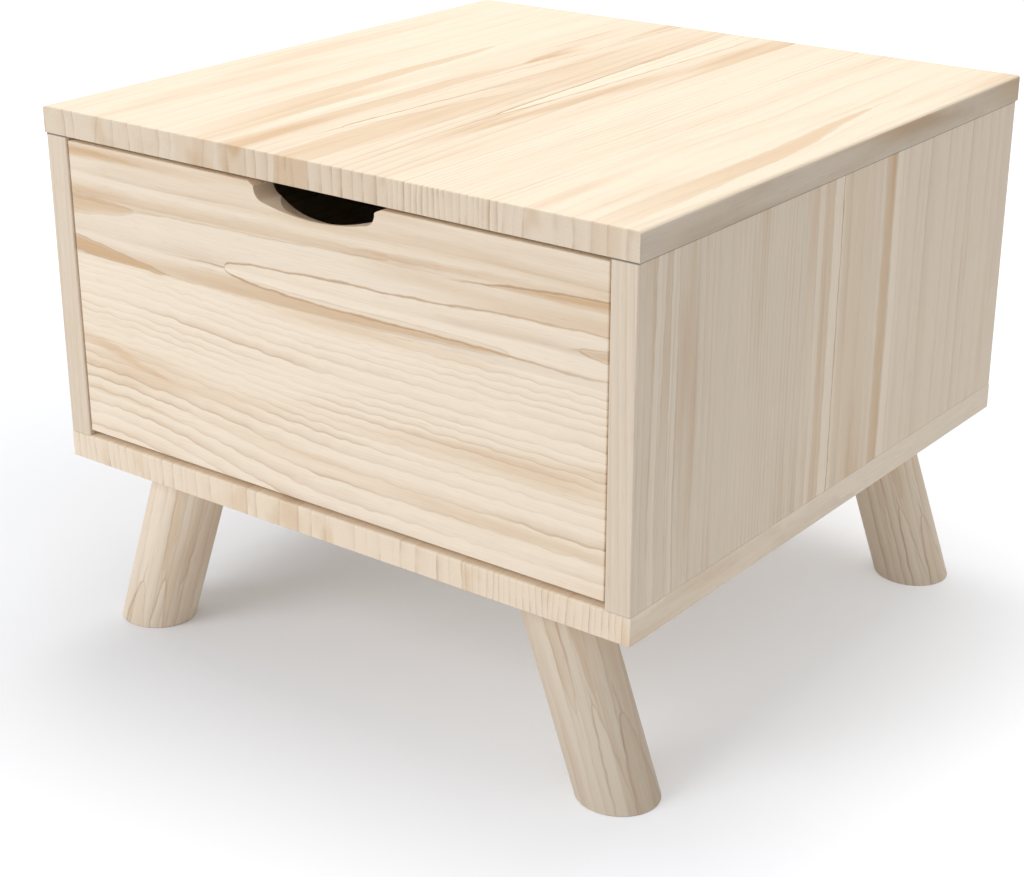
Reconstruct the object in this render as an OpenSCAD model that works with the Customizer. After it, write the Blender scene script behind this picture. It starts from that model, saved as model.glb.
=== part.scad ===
// Nightstand with one drawer: a case of solid boards on four splayed round legs.
// Origin on the floor under the middle of the top board, +Z up, the drawer faces -Y.

/* [Case] */
// Width of the top board, left to right
top_w = 500; // [420:5:600]
// Depth of the top board, front to back
top_d = 500; // [490:5:600]
// Thickness of the top board
top_t = 19; // [18:1:25]
// Thickness of the bottom board
bottom_t = 20; // [18:1:25]
// Thickness of the side boards
side_t = 19; // [18:1:25]
// Height of the side boards, which is the clear height inside the case
side_h = 224; // [214:1:300]
// How far the top board stands out over the side boards, each side
side_overhang = 1.5; // [0:0.5:10]
// How far the top board stands out over the case, front and back
front_overhang = 0.5; // [0:0.5:3]
// How far the bottom board stands out past the side boards, each side
bottom_overhang = 0.5; // [0:0.5:3]
// Rounding of the top board's upper edges that run front to back
top_round = 3; // [1:0.5:6]
// Rounding of the bottom board's upper edges at the front and back
bottom_round = 2; // [1:0.5:4]
// Easing of every other board edge
arris = 1; // [0.5:0.25:2]

/* [Legs] */
// Height of the legs, floor to underside of the bottom board
leg_h = 137; // [80:1:200]
// Diameter of a leg
leg_d = 55; // [50:1:70]
// Angle by which the legs lean outwards, sideways only
leg_splay = 20; // [0:1:22]
// From the case's side to the middle of a leg's top end
leg_inset_x = 83.5; // [75:0.5:110]
// From the case's front or back to the middle of a leg
leg_inset_y = 41.5; // [40:0.5:100]

/* [Back panel] */
// Thickness of the back panel
back_t = 4; // [3:0.5:6]
// From the case's rear edge to the back panel
back_inset = 10; // [6:1:14]
// Depth of the groove that holds the back panel
groove_depth = 6; // [4:0.5:8]

/* [Drawer front] */
// Thickness of the drawer front
front_t = 19; // [18:1:22]
// How far the drawer front sits behind the case's front edges
front_recess = 1; // [0:0.5:5]
// Gap beside the drawer front, each side
front_gap_side = 1.2; // [1:0.1:3]
// Gap over the drawer front
front_gap_top = 3; // [2:0.5:6]
// Gap under the drawer front
front_gap_bottom = 4.5; // [3:0.5:9]

/* [Finger cut-out] */
// Width of the cut-out between its lips
cutout_w = 103; // [80:1:140]
// Depth of the cut-out at its middle
cutout_depth = 17.5; // [15:0.5:25]
// Radius of the long shallow arc along its bottom
cutout_arc_r = 190; // [150:5:400]
// Radius of its two lower corners
cutout_corner_r = 9; // [6:0.5:10]
// Radius on which each shoulder rolls over from the top edge
shoulder_r = 16; // [10:1:25]
// Drop of each shoulder before the crisp lip
shoulder_drop = 2.5; // [1:0.5:4]
// Flat stretch at the front of the cut-out's bottom
cutout_land = 1.5; // [1:0.5:8]
// Angle at which the rest of its bottom falls towards the inside
cutout_lean = 20; // [5:1:32]
// Radius of the corners of that leaning part
cutout_inner_corner_r = 55; // [30:1:60]

/* [Drawer box] */
// Thickness of the box sides and back
box_t = 12; // [10:1:15]
// Height of the box sides
box_h = 160; // [120:5:170]
// How far the box sides sit above the lower edge of the drawer front
box_lift = 10; // [8:1:15]
// Thickness of the drawer bottom
drawer_bottom_t = 4; // [3:0.5:6]
// Depth of the groove that holds the drawer bottom
bottom_groove = 6; // [4:0.5:7]
// From the lower edge of the box sides to the drawer bottom
bottom_lift = 10; // [8:0.5:11]

/* [Runners] */
// Length of a runner, which is also the length of the box sides
runner_l = 450; // [350:10:450]
// Gap that a runner fills between the box side and the case side
runner_gap = 12.5; // [12.5:0.5:14]
// Thickness of the runner's sheet steel
steel_t = 1.2; // [1:0.1:1.2]
// Diameter of a roller
roller_d = 16; // [14:0.5:16.5]
// Length of runner that stays inside the case at full travel
runner_overlap = 110; // [90:5:200]

/* [Fasteners] */
// Diameter of the case and leg dowels
dowel_d = 8; // [6:1:10]
// Diameter of the drawer dowels
box_dowel_d = 6; // [5:1:8]
// Diameter of the leg bolts
bolt_d = 8; // [6:1:8]
// Diameter of the cam locks
cam_d = 15; // [13:1:17]
// Shank diameter of the case screws
case_screw_d = 7; // [6:0.5:8]
// Diameter of the small runner and drawer screws
screw_d = 3.5; // [3:0.1:3.8]

/* [Hidden] */
$fn = 48;

// Clearance of a dowel, bolt or screw in its hole, on the radius
hole_fit = 0.05;
// Room left at the blind end of a hole
hole_end = 0.5;
// Clearance of a panel in its groove, on each face
groove_fit = 0.1;
// Running clearance of a roller on its pin, on the radius
pin_fit = 0.05;
// Clearance between a roller and the steel it rolls on
roll_fit = 0.3;
// Overshoot of a cutting solid past the face that it cuts
cut = 1;
// Height by which a shoulder's full circle would stand over the drawer front
shoulder_crown = 0.4;
// How much narrower the leaning part of the cut-out is, each side
cutout_draw = 0.5;
// Radius of its arc, a little tighter than in front
cutout_inner_r = 0.8 * cutout_arc_r;
// From its middle to the centre of each of its wide corners, which make the land grow towards both ends
cutout_inner_corner_x = 13;

LEFT = -1;
RIGHT = 1;
FRONT = -1;
BACK = 1;

// Colours as the photograph shows them
pine = "#EBDCC4";
ply = "#DCC7A2";
beech = "#D8B88C";
steel = "#C9CBCE";
enamel = "#EDEBE4";
nylon = "#F4F3EF";

// Case
case_w = top_w - 2 * side_overhang;
case_d = top_d - 2 * front_overhang;
case_front = -case_d / 2;
case_back = case_d / 2;
inner_w = case_w - 2 * side_t;
inner_x = inner_w / 2;
side_mid_x = inner_x + side_t / 2;
floor_z = leg_h + bottom_t;
top_z = floor_z + side_h;
back_y = case_back - back_inset - back_t;

// Legs
leg_x = case_w / 2 - leg_inset_x;
leg_y = case_d / 2 - leg_inset_y;

// Leg fittings, all upright although the leg leans
washer_d = 3 * bolt_d;
washer_t = 2;
bolt_head_d = 14;
bolt_head_t = 4.4;
bolt_head_socket = 5;
sink_cover = 1;
sink_room = 1;
sink_depth = washer_t + bolt_head_t + sink_cover;
sink_d = washer_d + 2 * sink_room;
insert_l = 25;
insert_wall = 2;
bolt_point = 6;
bolt_l = bottom_t - sink_depth + insert_l + bolt_point;
leg_dowel_skin = 6;
leg_dowel_board = bottom_t - leg_dowel_skin;
leg_dowel_leg = 27;
leg_dowel_shift = (leg_d / 2 + bolt_d / 2 + insert_wall) / 2;

// Case fittings
dowel_face_depth = 11;
dowel_end_depth = 20;
dowel_ys = [-0.4, 0, 0.4] * case_d;
fitting_ys = [-0.26, 0.26] * case_d;
cam_drop = 24;
cam_t = 12.4;
cam_head_d = 7;
cam_head_low = cam_head_d / 4;
cam_room = 0.4;
cam_neck_d = 5;
cam_thread_d = 6;
cam_key_w = 1.2;
cam_key_l = cam_d / 2;
cam_key_depth = 1.5;
case_screw_l = 50;
case_screw_thread = 1;
case_screw_flange = 1.5;
case_screw_pilot_d = case_screw_d - 2 * case_screw_thread;
case_screw_head_d = case_screw_d + 2 * case_screw_flange;
case_screw_head_t = 3;
hex_key_d = 4;
hex_key_depth = 2.5;

// Drawer
front_w = inner_w - 2 * front_gap_side;
front_h = side_h - front_gap_top - front_gap_bottom;
front_z = floor_z + front_gap_bottom;
front_y = case_front + front_recess;
box_y = front_y + front_t;
box_back_y = box_y + runner_l;
box_x = inner_x - runner_gap;
box_inner_x = box_x - box_t;
box_z = front_z + box_lift;
panel_z = box_z + bottom_lift;
panel_x = box_inner_x + bottom_groove - groove_fit;
back_board_z = panel_z + drawer_bottom_t + groove_fit;
box_dowel_front = 11;
box_dowel_side = 18;
box_dowel_rises = [0.2, 0.5, 0.8] * box_h;
box_screw_l = 35;
box_screw_rises = [0.3, 0.7] * box_h;
bottom_screw_l = 16;
bottom_screw_xs = [-0.3, 0, 0.3] * inner_w;

// Runners, measured from the upper face of the case runner's lower flange
runner_rise = 4;
runner_z = box_z + runner_rise;
flange_clear = 2.6;
flange_in = runner_gap - flange_clear;
flange_lip = 3.2;
roller_r = roller_d / 2;
roller_w = 5.6;
roller_recess = 1.2;
roller_chamfer = 0.4;
roller_rim = 1.2;
roller_ring_w = 1.2;
roller_ring_out = roller_r - roller_rim;
roller_ring_in = roller_ring_out - roller_ring_w;
roller_ring_depth = 0.5;
roller_ring_slope = 0.2;
pin_r = 2.5;
pin_head_r = 3.6;
pin_head_t = 0.9;
pin_head_room = 0.6;
pin_collar_r = 3.8;
pin_play = 0.1;
roller_clear = 1.5;
plate_l = 22;
rear_roller_z = runner_z + roll_fit + roller_r;
ride_over = 2;
ride_z = runner_z + roller_d + ride_over;
front_roller_z = ride_z - roll_fit - roller_r;
ride_w = 9.4;
ride_lip = 3;
hold_down_clear = 0.8;
hold_down_z = ride_z + steel_t + hold_down_clear;
hold_down_w = 6;
underhang_w = box_t;
runner_setback = 2;
case_runner_y = box_y + runner_setback;
case_runner_back_y = case_runner_y + runner_l;
front_roller_y = case_runner_y + plate_l / 2;
rear_roller_inset = 10;
rear_roller_y = box_back_y - rear_roller_inset;
travel = runner_l - runner_overlap;
stop_h = 4;
stop_reach = sqrt(roller_r * roller_r - (roller_r - stop_h) * (roller_r - stop_h));
stop_y = rear_roller_y - travel - stop_reach - roll_fit - steel_t;
front_roller_out = 2;
rear_roller_out = 4.4;
front_roller_x = box_x + front_roller_out;
rear_roller_x = box_x + rear_roller_out;
runner_screw_rise = 10;
runner_screw_l = 16;
runner_screw_end = 40;
runner_screw_back_end = 50;
runner_screw_ys = [
    case_runner_y + runner_screw_end, case_runner_y + runner_l / 2, case_runner_back_y - runner_screw_back_end
];
// Case screws reach up to the height of the runner screws, so they stand clear of them between the end ones
case_screw_past = 50;
case_screw_ys = [runner_screw_ys[0] + case_screw_past, runner_screw_ys[2] - case_screw_past];
box_runner_screw_rise = 13.8;
box_runner_screw_l = 10;
box_runner_screw_back_end = 60;
box_runner_screw_ys = [
    box_y + runner_screw_end, box_y + runner_l / 2, box_back_y - box_runner_screw_back_end
];
screw_head_d = 2 * screw_d;
screw_head_t = 2;
slot_reach = 0.55 * screw_head_d;
slot_depth = 0.6 * screw_head_t;
slot_w = slot_reach / 4;

// Shared shapes

// Rectangle on y = 0, centred on x, with its lower and upper corners rounded
module eased_rect(w, h, r_low, r_high) {
    for (side = [-1, 1]) {
        translate([side * (w / 2 - r_low), r_low]) circle(r_low);
        translate([side * (w / 2 - r_high), h - r_high]) circle(r_high);
    }
    translate([-w / 2, r_low]) square([w, h - r_low - r_high]);
    translate([r_low - w / 2, 0]) square([w - 2 * r_low, h / 2]);
    translate([r_high - w / 2, h / 2]) square([w - 2 * r_high, h / 2]);
}

// Board on z = 0, centred on x and y, eased all round; r_sides rounds its upper edges at the left and
// right, r_ends those at the front and back
module eased_board(w, d, h, r_sides = arris, r_ends = arris) {
    intersection() {
        rotate([90, 0, 0]) translate([0, 0, -d / 2]) linear_extrude(d) eased_rect(w, h, arris, r_sides);
        rotate([90, 0, 90]) translate([0, 0, -w / 2]) linear_extrude(w) eased_rect(d, h, arris, r_ends);
        translate([0, -d / 2, 0]) linear_extrude(h) eased_rect(w, d, arris, arris);
    }
}

// Bar of sheet steel bent along a path of points, with rounded bends
module bent_strip(path, t) {
    for (i = [0 : len(path) - 2]) {
        run = path[i + 1] - path[i];
        translate(path[i]) rotate(atan2(run[1], run[0])) translate([0, -t / 2]) square([norm(run), t]);
    }
    for (point = path) translate(point) circle(d = t);
}

// Cylinder that runs from x = 0 towards +x
module rod_x(r, l) {
    rotate([0, 90, 0]) cylinder(r = r, h = l);
}

// Countersunk screw whose head is flush with x = 0 and whose point is at +x
module flat_screw(l, grow = 0) {
    rotate([0, 90, 0]) {
        cylinder(d1 = screw_head_d + 2 * grow, d2 = screw_d + 2 * grow, h = screw_head_t);
        cylinder(d = screw_d + 2 * grow, h = l + (grow > 0 ? hole_end : 0));
    }
}

// Cross slot in a face that is flush with x = 0
module cross_slot(reach, w, depth) {
    for (turn = [0, 90]) rotate([turn, 0, 0])
        translate([-cut, -reach / 2, -w / 2]) cube([depth + cut, reach, w]);
}

module driven_screw(l) {
    difference() {
        flat_screw(l);
        cross_slot(slot_reach, slot_w, slot_depth);
    }
}

// Case

module case_dowel_places() {
    for (side = [LEFT, RIGHT], y = dowel_ys) translate([side * side_mid_x, y, 0]) children();
}

module cam_places() {
    for (side = [LEFT, RIGHT], y = fitting_ys) translate([side * inner_x, y, top_z - cam_drop])
        rotate([0, 0, side == RIGHT ? 0 : 180]) children();
}

module case_screw_places() {
    for (side = [LEFT, RIGHT], y = case_screw_ys) translate([side * side_mid_x, y, leg_h]) children();
}

module leg_places() {
    for (side = [LEFT, RIGHT], end = [FRONT, BACK]) translate([side * leg_x, end * leg_y, 0]) children();
}

module back_groove() {
    groove_w = inner_w + 2 * groove_depth;
    translate([-groove_w / 2, back_y - groove_fit, floor_z - groove_depth])
        cube([groove_w, back_t + 2 * groove_fit, side_h + 2 * groove_depth]);
}

module top_board() {
    color(pine) difference() {
        translate([0, 0, top_z]) eased_board(top_w, top_d, top_t, top_round);
        case_dowel_places() translate([0, 0, top_z - cut])
            cylinder(r = dowel_d / 2 + hole_fit, h = dowel_face_depth + cut);
        cam_places() translate([side_t / 2, 0, cam_drop - cut])
            cylinder(r = cam_thread_d / 2 + hole_fit, h = dowel_face_depth + cut);
        back_groove();
    }
}

module bottom_board() {
    color(pine) difference() {
        translate([0, 0, leg_h])
            eased_board(case_w + 2 * bottom_overhang, case_d, bottom_t, arris, bottom_round);
        case_dowel_places() translate([0, 0, floor_z - dowel_face_depth])
            cylinder(r = dowel_d / 2 + hole_fit, h = dowel_face_depth + cut);
        case_screw_places() {
            translate([0, 0, -cut]) cylinder(r = case_screw_d / 2 + hole_fit, h = bottom_t + 2 * cut);
            translate([0, 0, -cut])
                cylinder(r = case_screw_head_d / 2 + hole_fit, h = case_screw_head_t + cut);
        }
        leg_places() {
            translate([0, 0, leg_h - cut]) cylinder(r = bolt_d / 2 + hole_fit, h = bottom_t + 2 * cut);
            translate([0, 0, floor_z - sink_depth]) cylinder(d = sink_d, h = sink_depth + cut);
        }
        leg_dowel_places() translate([0, 0, -cut])
            cylinder(r = dowel_d / 2 + hole_fit, h = leg_dowel_board + cut);
        back_groove();
    }
}

module side_board(side) {
    color(pine) difference() {
        translate([side * side_mid_x, 0, floor_z]) eased_side();
        case_dowel_places() {
            translate([0, 0, floor_z - cut]) cylinder(r = dowel_d / 2 + hole_fit, h = dowel_end_depth + cut);
            translate([0, 0, top_z - dowel_end_depth])
                cylinder(r = dowel_d / 2 + hole_fit, h = dowel_end_depth + cut);
        }
        cam_places() {
            translate([-cut, 0, 0]) rod_x(cam_d / 2 + hole_fit, cam_t + hole_end + cut);
            translate([side_t / 2, 0, -cam_head_low - hole_end])
                cylinder(r = cam_head_d / 2 + cam_room, h = cam_drop + cam_head_low + hole_end + cut);
        }
        case_screw_places() translate([0, 0, bottom_t - cut])
            cylinder(r = case_screw_pilot_d / 2 + hole_fit, h = case_screw_l - bottom_t + hole_end + cut);
        case_runner_screws_at(side, hole_fit);
        back_groove();
    }
}

// Side board standing on z = 0; its ends stay square where they meet the other boards
module eased_side() {
    translate([0, -case_d / 2, 0]) linear_extrude(side_h) eased_rect(side_t, case_d, arris, arris);
}

module back_panel() {
    tuck = groove_depth - hole_end;
    color(ply) translate([-inner_x - tuck, back_y, floor_z - tuck])
        cube([inner_w + 2 * tuck, back_t, side_h + 2 * tuck]);
}

module case_dowels() {
    l = dowel_face_depth + dowel_end_depth - 2 * hole_end;
    color(beech) case_dowel_places() {
        translate([0, 0, floor_z - dowel_face_depth + hole_end]) dowel(dowel_d, l);
        translate([0, 0, top_z - dowel_end_depth + hole_end]) dowel(dowel_d, l);
    }
}

// Dowel standing on z = 0 with chamfered ends
module dowel(d, l) {
    bevel = d / 8;
    rotate_extrude() polygon([
        [0, 0], [d / 2 - bevel, 0], [d / 2, bevel], [d / 2, l - bevel], [d / 2 - bevel, l], [0, l]
    ]);
}

// Bolt that hangs from the top board, with its head inside the cam lock
module cam_bolts() {
    color(steel) cam_places() translate([side_t / 2, 0, 0]) rotate_extrude() polygon([
        [0, -cam_head_low], [cam_head_d / 2, -cam_head_low], [cam_head_d / 2, cam_head_low],
        [cam_neck_d / 2, cam_head_d / 2], [cam_neck_d / 2, cam_drop], [cam_thread_d / 2, cam_drop],
        [cam_thread_d / 2, cam_drop + dowel_face_depth - 2 * hole_end],
        [cam_neck_d / 2, cam_drop + dowel_face_depth - hole_end],
        [0, cam_drop + dowel_face_depth - hole_end]
    ]);
}

module cam_locks() {
    pocket = cam_head_d + 2 * cam_room;
    color(steel) cam_places() difference() {
        rod_x(cam_d / 2, cam_t);
        translate([side_t / 2 - pocket / 2, -pocket / 2, -cam_head_low - hole_end])
            cube([pocket + cam_t, pocket, cam_d]);
        cross_slot(cam_key_l, cam_key_w, cam_key_depth);
    }
}

module case_screws() {
    color(steel) case_screw_places() difference() {
        union() {
            cylinder(d = case_screw_head_d, h = case_screw_head_t);
            cylinder(d = case_screw_d, h = bottom_t);
            cylinder(d = case_screw_pilot_d, h = case_screw_l);
        }
        translate([0, 0, -cut]) cylinder(d = hex_key_d, h = hex_key_depth + cut, $fn = 6);
    }
}

// Legs

module leg(side, end) {
    long = 2 * leg_h;
    color(pine) difference() {
        intersection() {
            translate([side * leg_x, end * leg_y, leg_h]) rotate([0, -side * leg_splay, 0])
                translate([0, 0, -long]) cylinder(d = leg_d, h = 2 * long, $fn = 96);
            translate([-top_w, -top_d, 0]) cube([2 * top_w, 2 * top_d, leg_h]);
        }
        leg_places() {
            translate([0, 0, leg_h - insert_l])
                cylinder(r = bolt_d / 2 + insert_wall + hole_fit, h = insert_l + cut);
            translate([0, 0, floor_z - sink_depth - bolt_l - hole_end])
                cylinder(r = bolt_d / 2 + hole_fit, h = bolt_l);
        }
        leg_dowel_places() translate([0, 0, -leg_dowel_leg])
            cylinder(r = dowel_d / 2 + hole_fit, h = leg_dowel_leg + cut);
    }
}

module leg_dowel_places() {
    for (side = [LEFT, RIGHT], end = [FRONT, BACK])
        translate([side * leg_x, end * (leg_y - leg_dowel_shift), leg_h]) children();
}

module leg_inserts() {
    color("#D9B45A") leg_places() translate([0, 0, leg_h - insert_l]) difference() {
        cylinder(r = bolt_d / 2 + insert_wall, h = insert_l);
        translate([0, 0, -cut]) cylinder(r = bolt_d / 2 + hole_fit, h = insert_l + 2 * cut);
    }
}

module leg_bolts() {
    color(steel) leg_places() translate([0, 0, floor_z - sink_depth + washer_t]) difference() {
        union() {
            translate([0, 0, -bolt_l - washer_t]) cylinder(d = bolt_d, h = bolt_l + washer_t);
            intersection() {
                cylinder(d = bolt_head_d, h = bolt_head_t);
                translate([0, 0, bolt_head_t - bolt_head_d]) sphere(bolt_head_d);
            }
        }
        translate([0, 0, bolt_head_t - hex_key_depth])
            cylinder(d = bolt_head_socket, h = hex_key_depth + cut, $fn = 6);
    }
}

module leg_washers() {
    color(steel) leg_places() translate([0, 0, floor_z - sink_depth]) difference() {
        cylinder(d = washer_d, h = washer_t);
        translate([0, 0, -cut]) cylinder(r = bolt_d / 2 + hole_fit, h = washer_t + 2 * cut);
    }
}

module leg_dowels() {
    color(beech) leg_dowel_places() translate([0, 0, hole_end - leg_dowel_leg])
        dowel(dowel_d, leg_dowel_leg + leg_dowel_board - 2 * hole_end);
}

// Drawer

// Height of the centre of a corner that runs smoothly into the arc along the cut-out's bottom
function corner_height(corner_x, arc_r, corner_r) =
    front_h - cutout_depth + arc_r - sqrt(pow(arc_r - corner_r, 2) - corner_x * corner_x);

// Arc along the cut-out's bottom that turns up into round corners, centred on corner_x at each side
module cutout_arc(corner_x, arc_r, corner_r) {
    corner_y = corner_height(corner_x, arc_r, corner_r);
    tangent_x = corner_x * arc_r / (arc_r - corner_r);
    intersection() {
        translate([0, front_h - cutout_depth + arc_r]) circle(arc_r, $fn = 192);
        translate([-tangent_x, 0]) square([2 * tangent_x, corner_y]);
    }
    for (side = [-1, 1]) translate([side * corner_x, corner_y]) circle(corner_r);
}

// Outline of the finger cut-out: x across the front, y up from the front's lower edge
module cutout_outline() {
    half_w = cutout_w / 2;
    corner_x = half_w - cutout_corner_r;
    corner_y = corner_height(corner_x, cutout_arc_r, cutout_corner_r);
    lip = front_h - shoulder_drop;
    centre_y = front_h - shoulder_r + shoulder_crown;
    rise = lip - centre_y;
    shoulder_x = half_w + sqrt(shoulder_r * shoulder_r - rise * rise);
    cutout_arc(corner_x, cutout_arc_r, cutout_corner_r);
    translate([-half_w, corner_y]) square([cutout_w, front_h + cut - corner_y]);
    difference() {
        translate([-shoulder_x, lip]) square([2 * shoulder_x, shoulder_drop + cut]);
        for (side = [-1, 1]) translate([side * shoulder_x, centre_y]) circle(shoulder_r);
    }
}

// Outline of the leaning part, which stays below the lips
module cutout_inner_outline() {
    half_w = cutout_w / 2 - cutout_draw;
    intersection() {
        cutout_arc(cutout_inner_corner_x, cutout_inner_r, cutout_inner_corner_r);
        translate([-half_w, 0]) square([2 * half_w, front_h - shoulder_drop]);
    }
}

// Cut-out through the front, and once more leaning so that its bottom falls inwards behind the land
module cutout() {
    through = front_t + 2 * cut;
    pivot = front_h - cutout_depth;
    translate([0, through - cut, 0]) rotate([90, 0, 0]) linear_extrude(through) cutout_outline();
    translate([0, cutout_land, pivot]) rotate([-cutout_lean, 0, 0]) translate([0, 2 * through, -pivot])
        rotate([90, 0, 0]) linear_extrude(2 * through) cutout_inner_outline();
}

module drawer_panel_slot() {
    translate([-panel_x - groove_fit, box_y - bottom_groove, panel_z - groove_fit])
        cube([2 * (panel_x + groove_fit), runner_l + bottom_groove + cut, drawer_bottom_t + 2 * groove_fit]);
}

module box_dowel_places() {
    for (side = [LEFT, RIGHT], rise = box_dowel_rises)
        translate([side * (box_x - box_t / 2), box_y, box_z + rise]) rotate([-90, 0, 0]) children();
}

module drawer_front() {
    color(pine) difference() {
        translate([0, front_y, front_z]) difference() {
            translate([0, front_t / 2, 0]) eased_board(front_w, front_t, front_h);
            cutout();
        }
        box_dowel_places() translate([0, 0, -box_dowel_front])
            cylinder(r = box_dowel_d / 2 + hole_fit, h = box_dowel_front + cut);
        drawer_panel_slot();
    }
}

module drawer_side(side) {
    mid_x = side * (box_x - box_t / 2);
    color(pine) difference() {
        translate([mid_x, box_y, box_z]) rotate([90, 0, 180]) linear_extrude(runner_l)
            eased_rect(box_t, box_h, arris, arris);
        box_dowel_places() translate([0, 0, -cut])
            cylinder(r = box_dowel_d / 2 + hole_fit, h = box_dowel_side + cut);
        drawer_panel_slot();
        drawer_back_screws_at(hole_fit);
        box_runner_screws_at(side, hole_fit);
    }
}

module drawer_back() {
    back_h = box_z + box_h - back_board_z;
    color(pine) difference() {
        translate([-box_inner_x, box_back_y - box_t / 2, back_board_z]) rotate([90, 0, 90])
            linear_extrude(2 * box_inner_x) eased_rect(box_t, back_h, arris, arris);
        drawer_back_screws_at(hole_fit);
        drawer_bottom_screws_at(hole_fit);
    }
}

module drawer_bottom() {
    front_end = box_y - bottom_groove + hole_end;
    color(ply) difference() {
        translate([-panel_x, front_end, panel_z])
            cube([2 * panel_x, box_back_y - front_end, drawer_bottom_t]);
        drawer_bottom_screws_at(hole_fit);
    }
}

module drawer_dowels() {
    color(beech) box_dowel_places() translate([0, 0, hole_end - box_dowel_front])
        dowel(box_dowel_d, box_dowel_front + box_dowel_side - 2 * hole_end);
}

// Screws through the box sides into the ends of the drawer back
module drawer_back_screws_at(grow = 0) {
    for (side = [LEFT, RIGHT], rise = box_screw_rises)
        translate([side * box_x, box_back_y - box_t / 2, box_z + rise]) rotate([0, 0, side == LEFT ? 0 : 180])
            if (grow > 0) flat_screw(box_screw_l, grow);
            else driven_screw(box_screw_l);
}

// Screws up through the drawer bottom into the drawer back
module drawer_bottom_screws_at(grow = 0) {
    for (x = bottom_screw_xs) translate([x, box_back_y - box_t / 2, panel_z]) rotate([0, -90, 0])
        if (grow > 0) flat_screw(bottom_screw_l, grow);
        else driven_screw(bottom_screw_l);
}

module drawer_back_screws() {
    color(steel) drawer_back_screws_at();
}

module drawer_bottom_screws() {
    color(steel) drawer_bottom_screws_at();
}

// Runners, drawn for the right side and mirrored for the left

module on_side(side) {
    mirror([side == LEFT ? 1 : 0, 0, 0]) children();
}

// Sheet profile in x and z, run along y
module run_along(y, l) {
    translate([0, y + l, 0]) rotate([90, 0, 0]) linear_extrude(l) children();
}

// Upright steel plate with one round end, facing x
module wheel_plate(x, y, z, h, round_end) {
    r = h / 2;
    translate([x, y, z]) rotate([90, 0, 90]) linear_extrude(steel_t) {
        translate([round_end == FRONT ? r : 0, 0]) square([plate_l - r, h]);
        translate([round_end == FRONT ? r : plate_l - r, r]) circle(r);
    }
}

// Screws of the case runner, heads flush with the steel
module case_runner_screws_at(side, grow = 0) {
    on_side(side) for (y = runner_screw_ys)
        translate([inner_x - steel_t, y, runner_z + runner_screw_rise])
            if (grow > 0) flat_screw(runner_screw_l, grow);
            else driven_screw(runner_screw_l);
}

// Screws of the drawer's runner, heads flush with the steel
module box_runner_screws_at(side, grow = 0) {
    on_side(side) for (y = box_runner_screw_ys)
        translate([box_x + steel_t, y, runner_z + box_runner_screw_rise]) rotate([0, 0, 180])
            if (grow > 0) flat_screw(box_runner_screw_l, grow);
            else driven_screw(box_runner_screw_l);
}

module case_runner(side) {
    web_x = inner_x - steel_t / 2;
    low = runner_z - steel_t / 2;
    high = hold_down_z + steel_t / 2;
    lip_x = inner_x - flange_in + steel_t / 2;
    inside_w = flange_in - 2 * steel_t;
    color(enamel) difference() {
        on_side(side) {
            run_along(case_runner_y + plate_l, runner_l - plate_l) bent_strip([
                [lip_x, runner_z + flange_lip - steel_t / 2], [lip_x, low], [web_x, low], [web_x, high],
                [inner_x - hold_down_w, high]
            ], steel_t);
            wheel_plate(inner_x - steel_t, case_runner_y, low - steel_t / 2, high - low + steel_t, FRONT);
            translate([inner_x - flange_in + steel_t, stop_y, runner_z]) cube([inside_w, steel_t, stop_h]);
            translate([inner_x - flange_in + steel_t, case_runner_back_y - steel_t, runner_z])
                cube([inside_w, steel_t, roller_r]);
        }
        on_side(side) translate([inner_x - steel_t - cut, front_roller_y, front_roller_z])
            rod_x(pin_r + hole_fit, steel_t + 2 * cut);
        case_runner_screws_at(side, hole_fit);
    }
}

module drawer_runner(side) {
    web_x = box_x + steel_t / 2;
    low = box_z - steel_t / 2;
    high = ride_z + steel_t / 2;
    lip_x = box_x + ride_w - steel_t / 2;
    profile_l = rear_roller_y - roller_r - roller_clear - box_y;
    color(enamel) difference() {
        on_side(side) {
            run_along(box_y, profile_l) bent_strip([
                [box_x - underhang_w + steel_t / 2, low], [web_x, low], [web_x, high], [lip_x, high],
                [lip_x, high - ride_lip + steel_t / 2]
            ], steel_t);
            wheel_plate(box_x, box_back_y - plate_l, low + steel_t / 2, high - low, BACK);
        }
        on_side(side) translate([box_x - cut, rear_roller_y, rear_roller_z])
            rod_x(pin_r + hole_fit, steel_t + 2 * cut);
        box_runner_screws_at(side, hole_fit);
    }
}

// Nylon roller on x = 0, its recessed face towards +x
module roller() {
    recess_r = pin_head_r + pin_head_room;
    tread_in = roller_r - roller_chamfer;
    rotate([0, 90, 0]) rotate_extrude($fn = 64) polygon([
        [pin_r, 0], [roller_ring_in, 0], [roller_ring_in + roller_ring_slope, roller_ring_depth],
        [roller_ring_out - roller_ring_slope, roller_ring_depth], [roller_ring_out, 0], [tread_in, 0],
        [roller_r, roller_chamfer], [roller_r, roller_w - roller_chamfer], [tread_in, roller_w],
        [recess_r, roller_w], [recess_r, roller_w - roller_recess], [pin_r, roller_w - roller_recess]
    ]);
}

// Pin of a roller that starts collar_l behind the roller's flat face
module roller_pin(collar_l) {
    journal_end = roller_w - roller_recess + pin_play;
    rotate([0, 90, 0]) rotate_extrude() polygon([
        [0, -collar_l], [pin_r, -collar_l], [pin_r, steel_t - collar_l], [pin_collar_r, steel_t - collar_l],
        [pin_collar_r, -pin_play], [pin_r - pin_fit, -pin_play], [pin_r - pin_fit, journal_end],
        [pin_head_r, journal_end], [pin_head_r, journal_end + pin_head_t], [0, journal_end + pin_head_t]
    ]);
}

module front_roller_place(side) {
    on_side(side) translate([front_roller_x + roller_w, front_roller_y, front_roller_z])
        mirror([1, 0, 0]) children();
}

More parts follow.
